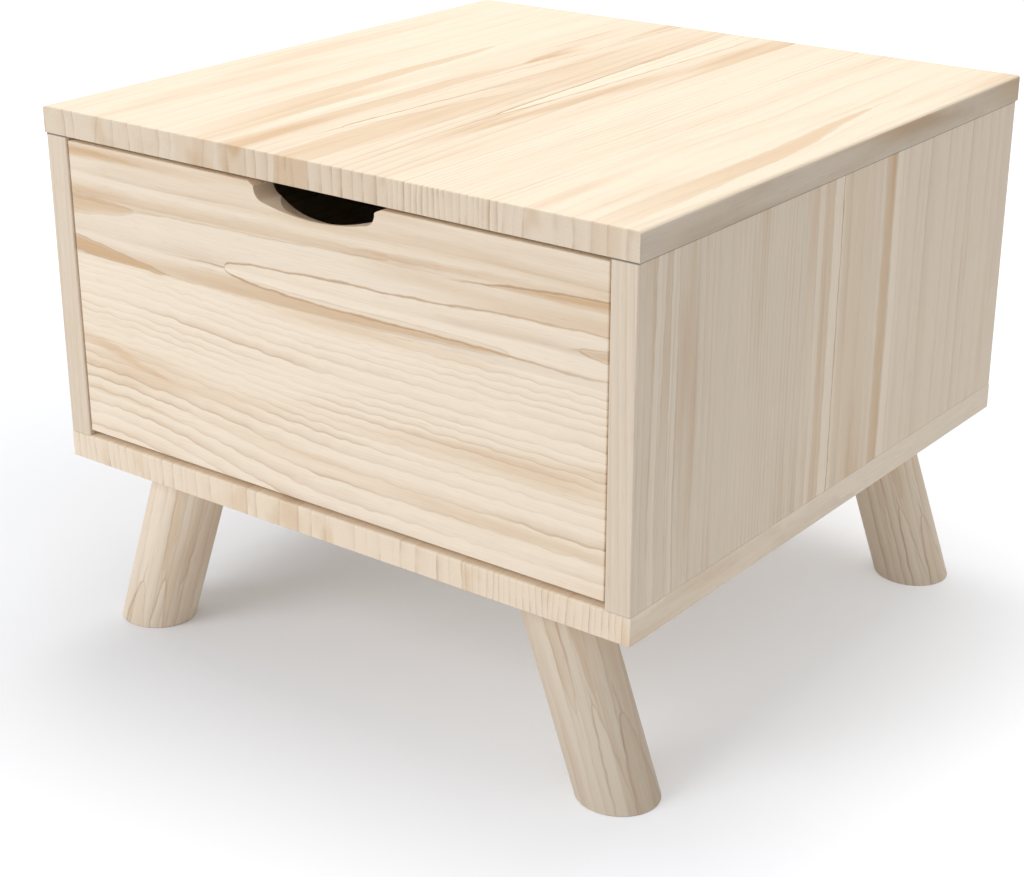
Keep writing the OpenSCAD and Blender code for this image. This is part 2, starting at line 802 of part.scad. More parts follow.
module rear_roller_place(side) {
    on_side(side) translate([rear_roller_x, rear_roller_y, rear_roller_z]) children();
}

module case_runner_pins() {
    color(steel) for (side = [LEFT, RIGHT]) front_roller_place(side)
        roller_pin(inner_x - front_roller_x - roller_w);
}

module drawer_runner_pins() {
    color(steel) for (side = [LEFT, RIGHT]) rear_roller_place(side) roller_pin(rear_roller_x - box_x);
}

module case_runner_screws() {
    color(steel) for (side = [LEFT, RIGHT]) case_runner_screws_at(side);
}

module drawer_runner_screws() {
    color(steel) for (side = [LEFT, RIGHT]) box_runner_screws_at(side);
}

module front_roller(side) {
    color(nylon) front_roller_place(side) roller();
}

module rear_roller(side) {
    color(nylon) rear_roller_place(side) roller();
}

top_board();
bottom_board();
side_board(LEFT);  // side_board_left
side_board(RIGHT);  // side_board_right
back_panel();
leg(LEFT, FRONT);  // leg_front_left
leg(RIGHT, FRONT);  // leg_front_right
leg(LEFT, BACK);  // leg_back_left
leg(RIGHT, BACK);  // leg_back_right
leg_inserts();
leg_bolts();
leg_washers();
leg_dowels();
case_dowels();
cam_bolts();
cam_locks();
case_screws();
case_runner(LEFT);  // case_runner_left
case_runner(RIGHT);  // case_runner_right
case_runner_pins();
case_runner_screws();
front_roller(LEFT);  // front_roller_left
front_roller(RIGHT);  // front_roller_right
drawer_front();
drawer_side(LEFT);  // drawer_side_left
drawer_side(RIGHT);  // drawer_side_right
drawer_back();
drawer_bottom();
drawer_dowels();
drawer_back_screws();
drawer_bottom_screws();
drawer_runner(LEFT);  // drawer_runner_left
drawer_runner(RIGHT);  // drawer_runner_right
drawer_runner_pins();
drawer_runner_screws();
rear_roller(LEFT);  // rear_roller_left
rear_roller(RIGHT);  // rear_roller_right
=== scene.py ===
# %% [markdown]
# # A nightstand of raw pine
# A small bedside cabinet: solid pine boards glued up from staves, one drawer on roller runners and four
# splayed round legs. The exact shapes come from a CAD model, which is loaded first and never moved. What is
# left for Blender is the wood itself: where in its log each stave was sawn, how the sawn face takes light,
# and the small metal and nylon fittings behind the drawer front.
# Everything is in metres: +Z is up, +X is right as seen from the front, and the drawer opens towards -Y.

# %% Load the model
import math
from collections import namedtuple

import bmesh
import bpy
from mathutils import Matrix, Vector


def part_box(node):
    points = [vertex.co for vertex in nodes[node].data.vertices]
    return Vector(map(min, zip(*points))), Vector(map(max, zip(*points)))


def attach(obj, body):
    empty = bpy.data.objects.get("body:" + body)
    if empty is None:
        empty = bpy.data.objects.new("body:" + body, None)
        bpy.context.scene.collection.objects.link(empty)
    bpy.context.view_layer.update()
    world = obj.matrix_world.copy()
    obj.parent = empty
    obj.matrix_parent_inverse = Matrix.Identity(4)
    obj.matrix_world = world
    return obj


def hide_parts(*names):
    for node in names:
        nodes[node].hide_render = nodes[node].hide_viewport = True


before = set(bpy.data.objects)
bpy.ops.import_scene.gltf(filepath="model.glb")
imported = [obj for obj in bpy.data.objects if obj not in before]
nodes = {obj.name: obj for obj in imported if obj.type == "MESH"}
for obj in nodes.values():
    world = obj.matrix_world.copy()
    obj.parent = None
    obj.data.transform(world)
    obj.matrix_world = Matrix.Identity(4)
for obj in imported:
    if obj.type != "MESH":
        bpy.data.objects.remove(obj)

scene = bpy.context.scene
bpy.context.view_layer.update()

# %% [markdown]
# # Helpers for node trees
# A shader tree is a set of nodes with values in their sockets and links between them. Written out by hand,
# each node takes four or five lines, so one small function does the same for every kind: it makes the node,
# sets its options and fills its inputs. The inputs are given by name or number, or as a plain row in the
# node's own order. A Map Range, for one, takes a value, the two ends it comes from and the two it goes to.
# A math node's kind is written with its operation, such as "Math ADD".
# Colours are written as a painter's hex values, which are sRGB. Shaders count in linear light, so one
# function turns the first into the second.

# %% Helpers
def fill(tree, node, inputs):
    """Links each input given as a socket, or as a node by its first output, and sets any other."""
    for key, value in (inputs if isinstance(inputs, dict) else dict(enumerate(inputs))).items():
        if isinstance(value, bpy.types.Node):
            value = value.outputs[0]
        if isinstance(value, bpy.types.NodeSocket):
            tree.links.new(value, node.inputs[key])
        else:
            node.inputs[key].default_value = value


def add(tree, kind, inputs=(), stops=(), **options):
    """Adds a node. Its kind may leave out ShaderNode and name an operation; a colour ramp has stops."""
    kind, _, operation = kind.partition(" ")
    node = tree.nodes.new(kind if "Node" in kind else "ShaderNode" + kind)
    if operation:
        options["operation"] = operation
    for name, value in options.items():
        setattr(node, name, value)
    while stops and len(node.color_ramp.elements) < len(stops):
        node.color_ramp.elements.new(0.5)
    for i, (position, value) in enumerate(stops):
        node.color_ramp.elements[i].position = position
        node.color_ramp.elements[i].color = value
    fill(tree, node, inputs)
    return node


def colour(hex_value):
    """Linear RGBA of an sRGB hex value such as #F0E0C8."""
    shares = [int(hex_value[i:i + 2], 16) / 255 for i in (1, 3, 5)]
    return [s / 12.92 if s <= 0.04045 else ((s + 0.055) / 1.055) ** 2.4 for s in shares] + [1.0]


print("mid grey #808080 is", round(colour("#808080")[0], 3), "in linear light")

# %% [markdown]
# # The camera
# The photograph was taken from above and to the right of the drawer, at a short distance, so the far side
# of the top is clearly smaller than the near one. The edges of the boards fix the camera: with the
# cabinet's size known, only one position, direction and lens put all its corners in the right place.
# Position and angles below come from such a fit, and the frame is taken to be 1024 by 877 pixels.

# %% Camera
CAMERA_PLACE = (0.8582, -1.1694, 0.7317)
CAMERA_TURN = 37.235      # degrees
CAMERA_TILT = 22.533
CAMERA_LENS = 72.11

camera = bpy.data.objects.new("camera", bpy.data.cameras.new("camera"))
camera.location = CAMERA_PLACE
camera.rotation_euler = (math.radians(90 - CAMERA_TILT), 0, math.radians(CAMERA_TURN))
camera.data.lens = CAMERA_LENS
camera.data.sensor_fit = "HORIZONTAL"
scene.collection.objects.link(camera)
scene.camera = camera
print("camera", CAMERA_LENS, "mm")

# %% [markdown]
# # Light, backdrop and floor
# The photograph shows the usual studio set for furniture: everything around the piece is white, and only a
# soft grey shadow ties it to the floor. The key lamp hangs above the cabinet, a little behind it and to its
# left, so the top is brightest and the right side lies in soft shade. A second lamp, high in front at the
# left, lifts the drawer front.
# A large lamp gives soft edges to shadows, as a softbox does. The white is not made by more light, which
# would wash the wood out: the world is white only for the rays that the camera, a gloss or a glass sees,
# and the floor adds a little white glow of its own for camera rays, so that it reaches white out in the open.
# That glow fades towards the cabinet, so the grey round it is partly real shade and partly painted shadow.

# %% Light
FILL_STRENGTH = 0.5       # how strongly the world lights the matt surfaces


def softbox(name, place, target, size, watts, tint):
    """Square area lamp that faces its target and can't be seen itself."""
    lamp = bpy.data.lights.new(name, "AREA")
    lamp.size = size
    lamp.energy = watts
    lamp.color = colour(tint)[:3]
    holder = bpy.data.objects.new(name, lamp)
    holder.location = place
    aim = Vector(target) - Vector(place)
    holder.rotation_euler = aim.to_track_quat("-Z", "Y").to_euler()
    holder.visible_camera = False
    scene.collection.objects.link(holder)


softbox("key_softbox", (-0.3, 0.5, 2.4), (0, 0, 0.3), 1.5, 25.7, "#FFFCF5")
softbox("front_softbox", (-0.8, -2.4, 1.6), (0, 0, 0.25), 1.4, 24.8, "#FFFFFF")

world = bpy.data.worlds.new("white_studio")
world.use_nodes = True
tree = world.node_tree
tree.nodes.clear()
path = add(tree, "LightPath").outputs
glossy = add(tree, "Math MAXIMUM", (path["Is Glossy Ray"], path["Is Transmission Ray"]))
seen = add(tree, "Math MAXIMUM", (path["Is Camera Ray"], glossy))
strength = add(tree, "MapRange", (seen, 0.0, 1.0, FILL_STRENGTH))
sky = add(tree, "Background", {"Color": colour("#FFFFFF"), "Strength": strength})
add(tree, "OutputWorld", {"Surface": sky})
scene.world = world
scene.view_settings.view_transform = "Standard"

# %% Floor
FLOOR_SIZE = 14.0
FLOOR_COLOUR = "#EAEDF3"          # a hint of blue keeps the shadow a neutral grey beside the warm wood
# Painted shadow: the floor's glow is weakest round this point and grows with the distance from it.
PAINTED_SHADOW_MIDDLE = (-0.3, -0.05, 0.0)
GLOW_FROM, GLOW_TO = 0.1, 1.1     # metres from there
GLOW_NEAR, GLOW_FAR = 0.03, 0.55

floor_mesh = bpy.data.meshes.new("floor")
half = FLOOR_SIZE / 2
floor_mesh.from_pydata([(-half, -half, 0), (half, -half, 0), (half, half, 0), (-half, half, 0)], [],
                       [(0, 1, 2, 3)])
floor = bpy.data.objects.new("floor", floor_mesh)
scene.collection.objects.link(floor)


def new_material(name):
    """A material and its empty tree."""
    material = bpy.data.materials.new(name)
    material.use_nodes = True
    material.node_tree.nodes.clear()
    return material, material.node_tree


# Matt paper has no gloss, so all that the cabinet leaves on it is a soft shadow.
paper, tree = new_material("white paper sweep")
matte = add(tree, "BsdfDiffuse", {"Color": colour(FLOOR_COLOUR)})
path = add(tree, "LightPath").outputs
spot = add(tree, "TexCoord").outputs["Object"]
away = add(tree, "VectorMath DISTANCE", (spot, PAINTED_SHADOW_MIDDLE)).outputs["Value"]
glow_here = add(tree, "MapRange", (away, GLOW_FROM, GLOW_TO, GLOW_NEAR, GLOW_FAR))
glow_strength = add(tree, "Math MULTIPLY", (path["Is Camera Ray"], glow_here))
glow = add(tree, "Emission", {"Color": colour("#FFFFFF"), "Strength": glow_strength})
both = add(tree, "AddShader", (matte, glow))
add(tree, "OutputMaterial", {"Surface": both})
floor.data.materials.append(paper)
print("floor", FLOOR_SIZE, "m")

# %% [markdown]
# # How pine grows, as a node group
# A pine trunk is a stack of cones: each year adds one ring of pale early wood that ends in a thin, tan line
# of dense late wood. A saw cuts a flat face through those rings. Where the face runs nearly along the trunk
# it shows long pointed arches, the cathedral figure, and where it cuts the rings squarely it shows fine
# straight lines. End grain shows the rings themselves.
# A picture of wood pasted on each face would not match at the edges. So the rings are made in the solid:
# for any point in a board, the group works out how far it lies from the log's middle, the pith, and that
# distance alone says which ring it is in. Face, edge and end then agree, as in real timber.
# Noise bends the pith a little and makes some years grow more than others.

# %% Pine rings
BEND_LENGTH, BEND_WIDTH = 230.0, 60.0
RIPPLE_LENGTH, RIPPLE_WIDTH = 15.0, 14.0
SWELL_LENGTH = 220.0                      # the pith sinks or rises by a swell over this distance
FIBRE_LENGTH, FIBRE_WIDTH = 30.0, 1.1     # real fibres are finer, but would not show at this distance
CLIMATE_SPAN, CLIMATE_SHARE = 26.0, 1.6   # growth changes over these mm, by so many years at most
THROUGH_SHARE = 0.06                      # rings stand nearly upright in these boards' edges
LINE_BY_SEASON = [(0.0, 0.0), (0.8, 0.0), (0.93, 0.55), (0.965, 1.0), (1.0, 0.0)]
BAND_BY_SEASON = [(0.0, 0.0), (0.3, 0.05), (0.75, 0.5), (0.95, 1.0), (1.0, 0.0)]
FADE_LENGTH, FADE_WIDTH = 150.0, 18.0     # a ring's line comes and goes over this distance
FADE_FROM, FADE_TO = 0.38, 0.62           # as its noise rises from one to the other
WEAKEST_YEAR, WEAKEST_PLACE = 0.35, 0.35  # what is left of a line in its palest year and place


def new_group(name, tree_kind, inputs, outputs):
    """An empty group whose sockets are named by their kind, and the outputs of its input node."""
    tree = bpy.data.node_groups.new(name, tree_kind)
    for way, kinds in (("INPUT", inputs), ("OUTPUT", outputs)):
        for kind, names in kinds.items():
            for socket in names:
                tree.interface.new_socket(socket, in_out=way, socket_type="NodeSocket" + kind)
    return tree, add(tree, "NodeGroupInput").outputs


def streaks(tree, place, lengths, **inputs):
    """Noise whose spots have their own length in each direction; a seed W makes it four-dimensional."""
    spot = add(tree, "VectorMath MULTIPLY", (place, [1 / length for length in lengths]))
    return add(tree, "TexNoise", {"Vector": spot, "Scale": 1.0, **inputs},
               noise_dimensions="4D" if "W" in inputs else "3D")


def pine_rings():
    """Group: a place in millimetres along, across and through the grain becomes ring, year and fibre."""
    tree, given = new_group("Pine rings", "ShaderNodeTree",
                            {"Vector": ("Place", "Pith", "Growth", "Sway", "Swell")},
                            {"Vector": ("Bent place",), "Float": ("Line", "Band", "Fibre")})
    flat = given["Place"]
    pith, growth, sway, swell = (add(tree, "SeparateXYZ", (given[name],)).outputs
                                 for name in ("Pith", "Growth", "Sway", "Swell"))
    ring_width, seed, phase = growth["X"], growth["Y"], growth["Z"]

    moved = flat
    for length, width, height in ((BEND_LENGTH, BEND_WIDTH, sway["Y"]),
                                  (RIPPLE_LENGTH, RIPPLE_WIDTH, sway["Z"])):
        noise = streaks(tree, flat, (length, width, width), W=seed, Detail=1.0).outputs["Color"]
        centred = add(tree, "VectorMath SUBTRACT", (noise, (0.5, 0.5, 0.5)))
        scaled = add(tree, "VectorMath SCALE", {0: centred, "Scale": height})
        moved = add(tree, "VectorMath MULTIPLY_ADD", (scaled, (0, 1, 1), moved))

    place = add(tree, "SeparateXYZ", (moved,)).outputs
    drifted = add(tree, "Math MULTIPLY_ADD", (place["X"], sway["X"], pith["X"]))
    sideways = add(tree, "Math SUBTRACT", (place["Y"], drifted))
    swell_from = add(tree, "Math SUBTRACT", (place["X"], swell["Y"]))
    swell_step = add(tree, "MapRange", (swell_from, 0.0, SWELL_LENGTH), interpolation_type="SMOOTHSTEP")
    swollen = add(tree, "Math MULTIPLY_ADD", (swell_step, swell["X"], pith["Y"]))
    pith_level = add(tree, "Math MULTIPLY_ADD", (place["X"], pith["Z"], swollen))
    level = add(tree, "Math MULTIPLY", (place["Z"], THROUGH_SHARE))
    above = add(tree, "Math SUBTRACT", (level, pith_level))
    spoke = add(tree, "CombineXYZ", (sideways, above))
    radius = add(tree, "VectorMath LENGTH", (spoke,)).outputs["Value"]

    climate_at = add(tree, "Math MULTIPLY_ADD", (radius, 1 / CLIMATE_SPAN, seed))
    climate = add(tree, "TexNoise", {"W": climate_at, "Scale": 1.0, "Detail": 1.0}, noise_dimensions="1D")
    years = add(tree, "Math DIVIDE", (radius, ring_width))
    begun = add(tree, "Math ADD", (years, phase))
    uneven = add(tree, "Math MULTIPLY_ADD", (climate, CLIMATE_SHARE, begun))
    year = add(tree, "Math FLOOR", (uneven,))
    season = add(tree, "Math FRACT", (uneven,))
    parts = [add(tree, "ValToRGB", (season,), [(at, (share, share, share, 1)) for at, share in stops])
             for stops in (LINE_BY_SEASON, BAND_BY_SEASON)]
    year_seed = add(tree, "Math ADD", (year, seed))
    chance = add(tree, "TexWhiteNoise", {"W": year_seed}, noise_dimensions="1D")
    strong_year = add(tree, "MapRange", (chance, 0.0, 1.0, WEAKEST_YEAR))
    fade_noise = streaks(tree, flat, (FADE_LENGTH, FADE_WIDTH, FADE_WIDTH), W=seed, Detail=1.0)
    fade = add(tree, "MapRange", (fade_noise, FADE_FROM, FADE_TO, WEAKEST_PLACE),
               interpolation_type="SMOOTHSTEP")
    shown = add(tree, "Math MULTIPLY", (strong_year, fade))
    line, band = (add(tree, "Math MULTIPLY", (part, shown)) for part in parts)

    fibre = streaks(tree, flat, (FIBRE_LENGTH, FIBRE_WIDTH, FIBRE_WIDTH), Detail=2.0)
    add(tree, "NodeGroupOutput", {"Bent place": moved, "Line": line, "Band": band, "Fibre": fibre})
    return tree


PINE_RINGS = pine_rings()
print("group:", PINE_RINGS.name, len(PINE_RINGS.nodes), "nodes")

# %% [markdown]
# # Flames
# Where a saw just grazes a year's ring, the face shows a pointed tongue of warmer wood, a flame. Flames are
# what the eye remembers of a board, so the ones in the photograph are placed one by one instead of being
# left to chance: a tip, a length, a width, how warm the inside is and how clear its outline.
# The width grows with a power of the distance from the tip, and a little noise frays the edge. A slant lets
# one side of a flame fade away, as the saw leaves one flank of the ring steep and the other shallow.
# A flame with a negative length points the other way along the board.

# %% Pine flame
FRAY_LENGTH, FRAY_WIDTH, FRAY = 18.0, 4.0, 3.0
SOFT_EDGE = 1.6           # mm over which the warm inside sets in
RIM_WIDTH = 1.2
LINE_AHEAD = 0.15         # the outline runs on beyond the tip by this share of the length
FADES_FROM = 0.3          # a flame fades from this share of its length to its end


def pine_flame():
    """Group: a bent place in millimetres becomes a flame's fill and rim, both from 0 to 1."""
    tree, given = new_group("Pine flame", "ShaderNodeTree",
                            {"Vector": ("Place", "Tip", "Shape"), "Float": ("Slant",)},
                            {"Float": ("Fill", "Rim")})
    place, tip, shape = (add(tree, "SeparateXYZ", (given[name],)).outputs
                         for name in ("Place", "Tip", "Shape"))
    length, width, power = shape["X"], shape["Y"], shape["Z"]

    ahead = add(tree, "Math SUBTRACT", (place["X"], tip["X"]))
    share = add(tree, "Math DIVIDE", (ahead, length))
    grown = add(tree, "Math POWER", (add(tree, "Clamp", (share,)), power))
    half = add(tree, "Math MULTIPLY", (grown, width))
    middle = add(tree, "Math MULTIPLY_ADD", (ahead, tip["Z"], tip["Y"]))
    fray = streaks(tree, given["Place"], (FRAY_LENGTH, FRAY_WIDTH, math.inf), Detail=2.0)
    frayed = add(tree, "Math MULTIPLY_ADD", (fray, FRAY, place["Y"]))
    aside = add(tree, "Math SUBTRACT", (frayed, middle))
    centred = add(tree, "Math SUBTRACT", (aside, FRAY / 2))
    apart = add(tree, "Math ABSOLUTE", (centred,))
    depth = add(tree, "Math SUBTRACT", (half, apart))
    wide = add(tree, "Math MAXIMUM", (half, SOFT_EDGE))
    side = add(tree, "Math DIVIDE", (centred, wide))
    uneven = add(tree, "Math MULTIPLY_ADD", (side, given["Slant"], 1.0), use_clamp=True)

    inside = add(tree, "MapRange", (depth, 0.0, SOFT_EDGE), interpolation_type="SMOOTHSTEP")
    fading = add(tree, "MapRange", (share, 1.0, FADES_FROM), interpolation_type="SMOOTHSTEP")
    lasting = add(tree, "Math MULTIPLY", (fading, uneven))
    warm = add(tree, "Math MULTIPLY", (inside, lasting))
    from_rim = add(tree, "Math ABSOLUTE", (depth,))
    on_rim = add(tree, "MapRange", (from_rim, RIM_WIDTH, 0.0), interpolation_type="SMOOTHSTEP")
    begun = add(tree, "MapRange", (share, -LINE_AHEAD, 0.0))
    kept = add(tree, "Math MULTIPLY", (on_rim, begun))
    rim = add(tree, "Math MULTIPLY", (kept, lasting))
    add(tree, "NodeGroupOutput", {"Fill": warm, "Rim": rim})
    return tree


PINE_FLAME = pine_flame()
print("group:", PINE_FLAME.name, len(PINE_FLAME.nodes), "nodes")

# %% [markdown]
# # Staves, and where a point lies in them
# The boards are edge-glued: staves 60 to 190 mm wide, each sawn from another place in another log. A stave
# is described by where it starts across the board, where the pith lies from the board's face, how steeply
# the pith climbs along the board (this is what makes arches), how wide its years are, and its tint.
# The stave is picked by plain arithmetic: each seam that a point has passed adds the difference between two
# staves, so no image or mask is needed.

# %% Grain
METRE = 1000.0            # millimetres
Stave = namedtuple(
    "Stave",
    "start pith_across pith_depth climb ring seed drift swell swell_at phase wander ripple band"
    " value warmth contrast",
    defaults=(0.0, 0.0, 0.0, 0.0, 10.0, 1.5, 0.5, 1.0, 0.5, 0.6))
Flame = namedtuple("Flame", "along across length width fill rim lean power slant",
                   defaults=(0.0, 0.0, 0.5, 0.0))
Grain = namedtuple("Grain", "origin along across")
STAVE_FIELDS = {
    "Pith": ("pith_across", "pith_depth", "climb"),
    "Growth": ("ring", "seed", "phase"),
    "Sway": ("drift", "wander", "ripple"),
    "Swell": ("swell", "swell_at", "band"),
    "Tint": ("value", "warmth", "contrast"),
}


def axes_of(grain):
    """Directions along, across and through the grain."""
    along, across = Vector(grain.along), Vector(grain.across)
    return along, across, along.cross(across)


def place_in(tree, grain):
    """Millimetres along, across and through the grain: three sockets, and one vector of them."""
    spot = add(tree, "TexCoord").outputs["Object"]
    offset = add(tree, "VectorMath SUBTRACT", (spot, grain.origin))
    parts = [add(tree, "VectorMath DOT_PRODUCT", (offset, axis * METRE)).outputs["Value"]
             for axis in axes_of(grain)]
    return parts, add(tree, "CombineXYZ", parts)


def facing(tree, axis):
    """1 on a face that looks along the axis, 0 on one that looks across it."""
    normal = add(tree, "TexCoord").outputs["Normal"]
    share = add(tree, "VectorMath DOT_PRODUCT", (normal, axis)).outputs["Value"]
    return add(tree, "Math ABSOLUTE", (share,))


def stave_values(tree, across, staves, fields):
    """The three named values of the stave that a place across the board lies in."""
    def values(stave):
        return Vector(getattr(stave, field) for field in fields)

    total = tuple(values(staves[0]))
    for before, stave in zip(staves, staves[1:]):
        passed = add(tree, "Math GREATER_THAN", (across, stave.start))
        total = add(tree, "VectorMath MULTIPLY_ADD", (passed, values(stave) - values(before), total))
    return add(tree, "CombineXYZ", total) if isinstance(total, tuple) else total


def flames_here(tree, place, flames):
    """The fill and rim of all flames together, at a bent place on the board."""
    totals = [0.0, 0.0]
    for flame in flames:
        parts = add(tree, "Group", {"Place": place, "Tip": (flame.along, flame.across, flame.lean),
                                    "Shape": (flame.length, flame.width, flame.power),
                                    "Slant": flame.slant}, node_tree=PINE_FLAME).outputs
        totals = [add(tree, "Math MULTIPLY_ADD", (part, strength, total))
                  for part, strength, total in zip(parts, (flame.fill, flame.rim), totals)]
    return totals


print("a stave has", len(Stave._fields), "values, a flame", len(Flame._fields))

# %% [markdown]
# # Raw pine, planed and sanded
# Raw pine is pale cream between the rings and light tan in them, with warmer patches where resin lies. It
# is nearly matt, and the late wood stands up a hair's breadth after sanding. End grain drinks more light.

# %% Raw pine
MIX_A, MIX_B, MIX_COLOUR = 6, 7, 2        # a Mix node's sockets for colours
RELIEF = 0.0001           # metres: depth of a finish's fine relief at full strength
EARLY_WOOD = "#FAEAD4"
LATE_WOOD = "#C4A17B"
WARM_WOOD = "#DEBA90"
RESIN = "#B98F62"
PATCH_LENGTHS = (330.0, 26.0, 40.0)       # warm patches, mm along, across and through the grain
PATCH_FROM, PATCH_TO = 0.5, 0.72          # noise over which a patch sets in
CANAL_LENGTHS = (14.0, 1.3, 1.3)
CANAL_FROM, CANAL_TO = 0.68, 0.8
CANALS_SHOWN = 0.1
END_LIGHT, END_CONTRAST, END_WARMTH = 0.9, 2.0, 0.12      # end grain is darker, clearer and warmer
PAINTED_JOINT_SHADE, PAINTED_JOINT_SHADE_WIDTH = 0.25, 1.3      # painted shade: a dark line where a board's end meets the next board, for the shadow in that crevice
NO_PAINTED_JOINT_SHADE = 1e4                            # mm along the grain, beyond every board
PALE_LIGHT = 1.08         # how much brighter a stripe of sapwood is than the rest
FIBRE_FROM, FIBRE_TO = 0.25, 0.75         # nearly all of a noise lies between these
FIBRE_DARK, FIBRE_LIGHT = 0.95, 1.03
EARLY_ROUGHNESS, LATE_ROUGHNESS = 0.62, 0.5
FIBRE_RELIEF, PINE_RELIEF = 0.6, 0.35     # fibre against late wood, and the two together


def surface(tree, inputs, relief=None, strength=0.0):
    """Ends a material's tree in a Principled shader, with a fine relief where one is given."""
    if relief is not None:
        bump = add(tree, "Bump", {"Height": relief, "Strength": strength, "Distance": RELIEF})
        inputs = {**inputs, "Normal": bump}
    shader = add(tree, "BsdfPrincipled", inputs)
    add(tree, "OutputMaterial", {"Surface": shader})


def raw_pine(name, grain, staves, flames=(), end_light=END_LIGHT, painted_shade_at=NO_PAINTED_JOINT_SHADE):
    """Sanded, uncoated pine on a board whose grain, staves and flames are given."""
    material, tree = new_material("raw pine, " + name.replace("_", " "))
    parts, place = place_in(tree, grain)
    along, across = parts[:2]
    here = {key: stave_values(tree, across, staves, fields) for key, fields in STAVE_FIELDS.items()}
    tint = add(tree, "SeparateXYZ", (here.pop("Tint"),)).outputs
    seed = add(tree, "SeparateXYZ", (here["Growth"],)).outputs["Y"]
    band = add(tree, "SeparateXYZ", (here["Swell"],)).outputs["Z"]
    rings = add(tree, "Group", {"Place": place, **here}, node_tree=PINE_RINGS).outputs
    warm_fill, rim = flames_here(tree, rings["Bent place"], flames)
    end_grain = facing(tree, axes_of(grain)[0])

    ring_share = add(tree, "Mix", {0: band, 2: rings["Line"], 3: rings["Band"]})
    end_contrast = add(tree, "MapRange", (end_grain, 0.0, 1.0, 1.0, END_CONTRAST))
    contrast = add(tree, "Math MULTIPLY", (end_contrast, tint["Z"]))
    ring_depth = add(tree, "Math MULTIPLY_ADD", (ring_share, contrast, rim), use_clamp=True)
    patch = streaks(tree, place, PATCH_LENGTHS, W=seed, Detail=2.0)
    warm = add(tree, "MapRange", (patch, PATCH_FROM, PATCH_TO, 0.0, tint["Y"]),
               interpolation_type="SMOOTHSTEP")
    filled = add(tree, "Math ADD", (warm, warm_fill))
    warmed = add(tree, "Math MULTIPLY_ADD", (end_grain, END_WARMTH, filled), use_clamp=True)
    canals = streaks(tree, place, CANAL_LENGTHS, Detail=0.0)
    resin = add(tree, "MapRange", (canals, CANAL_FROM, CANAL_TO, 0.0, CANALS_SHOWN))
    wood = colour(EARLY_WOOD)
    for share, darker in ((warmed, WARM_WOOD), (ring_depth, LATE_WOOD), (resin, RESIN)):
        wood = add(tree, "Mix", {0: share, MIX_A: wood, MIX_B: colour(darker)},
                   data_type="RGBA").outputs[MIX_COLOUR]

    light = add(tree, "MapRange", (rings["Fibre"], FIBRE_FROM, FIBRE_TO, FIBRE_DARK, FIBRE_LIGHT))
    at_end = add(tree, "MapRange", (end_grain, 0.0, 1.0, 1.0, end_light))
    pale = add(tree, "MapRange", (warm_fill, -1.0, 0.0, PALE_LIGHT, 1.0))
    # Painted shade: the board is drawn darker over the last millimetre or so before the end where the next
    # board meets it.
    painted_joint_shade = add(tree, "MapRange", (along, painted_shade_at - PAINTED_JOINT_SHADE_WIDTH, painted_shade_at - PAINTED_JOINT_SHADE_WIDTH / 3,
                                   1.0, PAINTED_JOINT_SHADE))
    for share in (at_end, pale, painted_joint_shade, tint["X"]):
        light = add(tree, "Math MULTIPLY", (light, share))
    final = add(tree, "VectorMath SCALE", {0: wood, "Scale": light})
    roughness = add(tree, "MapRange", (ring_share, 0.0, 1.0, EARLY_ROUGHNESS, LATE_ROUGHNESS))
    relief = add(tree, "Math MULTIPLY_ADD", (rings["Fibre"], FIBRE_RELIEF, ring_share))
    surface(tree, {"Base Color": final, "Roughness": roughness}, relief, PINE_RELIEF)
    return material


print("raw pine runs from", EARLY_WOOD, "to", LATE_WOOD)

# %% [markdown]
# # The boards, stave by stave
# Each board gets its own log cuts. The origin is a corner of the face that shows, along follows the grain
# and across runs from stave to stave. The third direction follows from these two, and points out of or
# into the face. A pith near a stave, with a gentle climb, gives the long arches in the middle of the top. A
# pith some 400 mm off to one side gives the straight, close lines beside them. The drawer front's lower
# stave has its pith below the board, and a swell bends the lines there. Its ring width is negative, which
# turns the season round, so that the sharp edge of each line faces the other way. Each side board begins
# with a stave only half a millimetre wide, whose fine rings draw the lines of its front edge.

# %% Top and bottom boards
def box_of(name):
    """Lowest and highest corner of a CAD node."""
    return [Vector(corner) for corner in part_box(name)]


def dress(material, *names):
    """Puts the material in every slot of the named CAD nodes."""
    for name in names:
        for slot in nodes[name].material_slots:
            slot.material = material
    print(material.name, "on", ", ".join(names))


low, high = box_of("top_board")
TOP_GRAIN = Grain((0, low.y, high.z), (0, 1, 0), (1, 0, 0))
TOP_STAVES = [
    Stave(-300, -330, 40, 0.02, 15, 3.1, value=0.98, warmth=0.35, contrast=0.35, wander=34, ripple=1.0,
          band=0.6),
    Stave(-160, -330, 40, 0.01, 18, 5.7, phase=0.3, value=0.98, warmth=0.4, contrast=0.35, wander=24,
          band=0.6),
    Stave(-84, -430, 60, -0.01, 12, 8.2, value=0.97, warmth=0.7, contrast=0.5, wander=20, ripple=1.0,
          band=0.6),
    Stave(-20, -429, 40, -0.01, 9.5, 11.3, drift=-0.06, wander=5, ripple=1.0, value=0.97, warmth=0.7,
          contrast=0.7, band=0.5),
    Stave(62, -60, 40, 0.01, 4.6, 17.9, wander=8, ripple=1.5, warmth=0.2, contrast=0.5, band=0.9),
    Stave(150, 430, 60, 0.02, 13, 23.4, wander=26, ripple=1.0, warmth=0.45, contrast=0.35, band=0.6),
    # The last stave covers the board's right-hand edge: warmer wood, and also drawn darker as painted shade
    # on that shaded side.
    Stave(249.4, 430, 60, 0.02, 24, 29.8, wander=26, value=0.84, warmth=1.0, contrast=1.1),
]
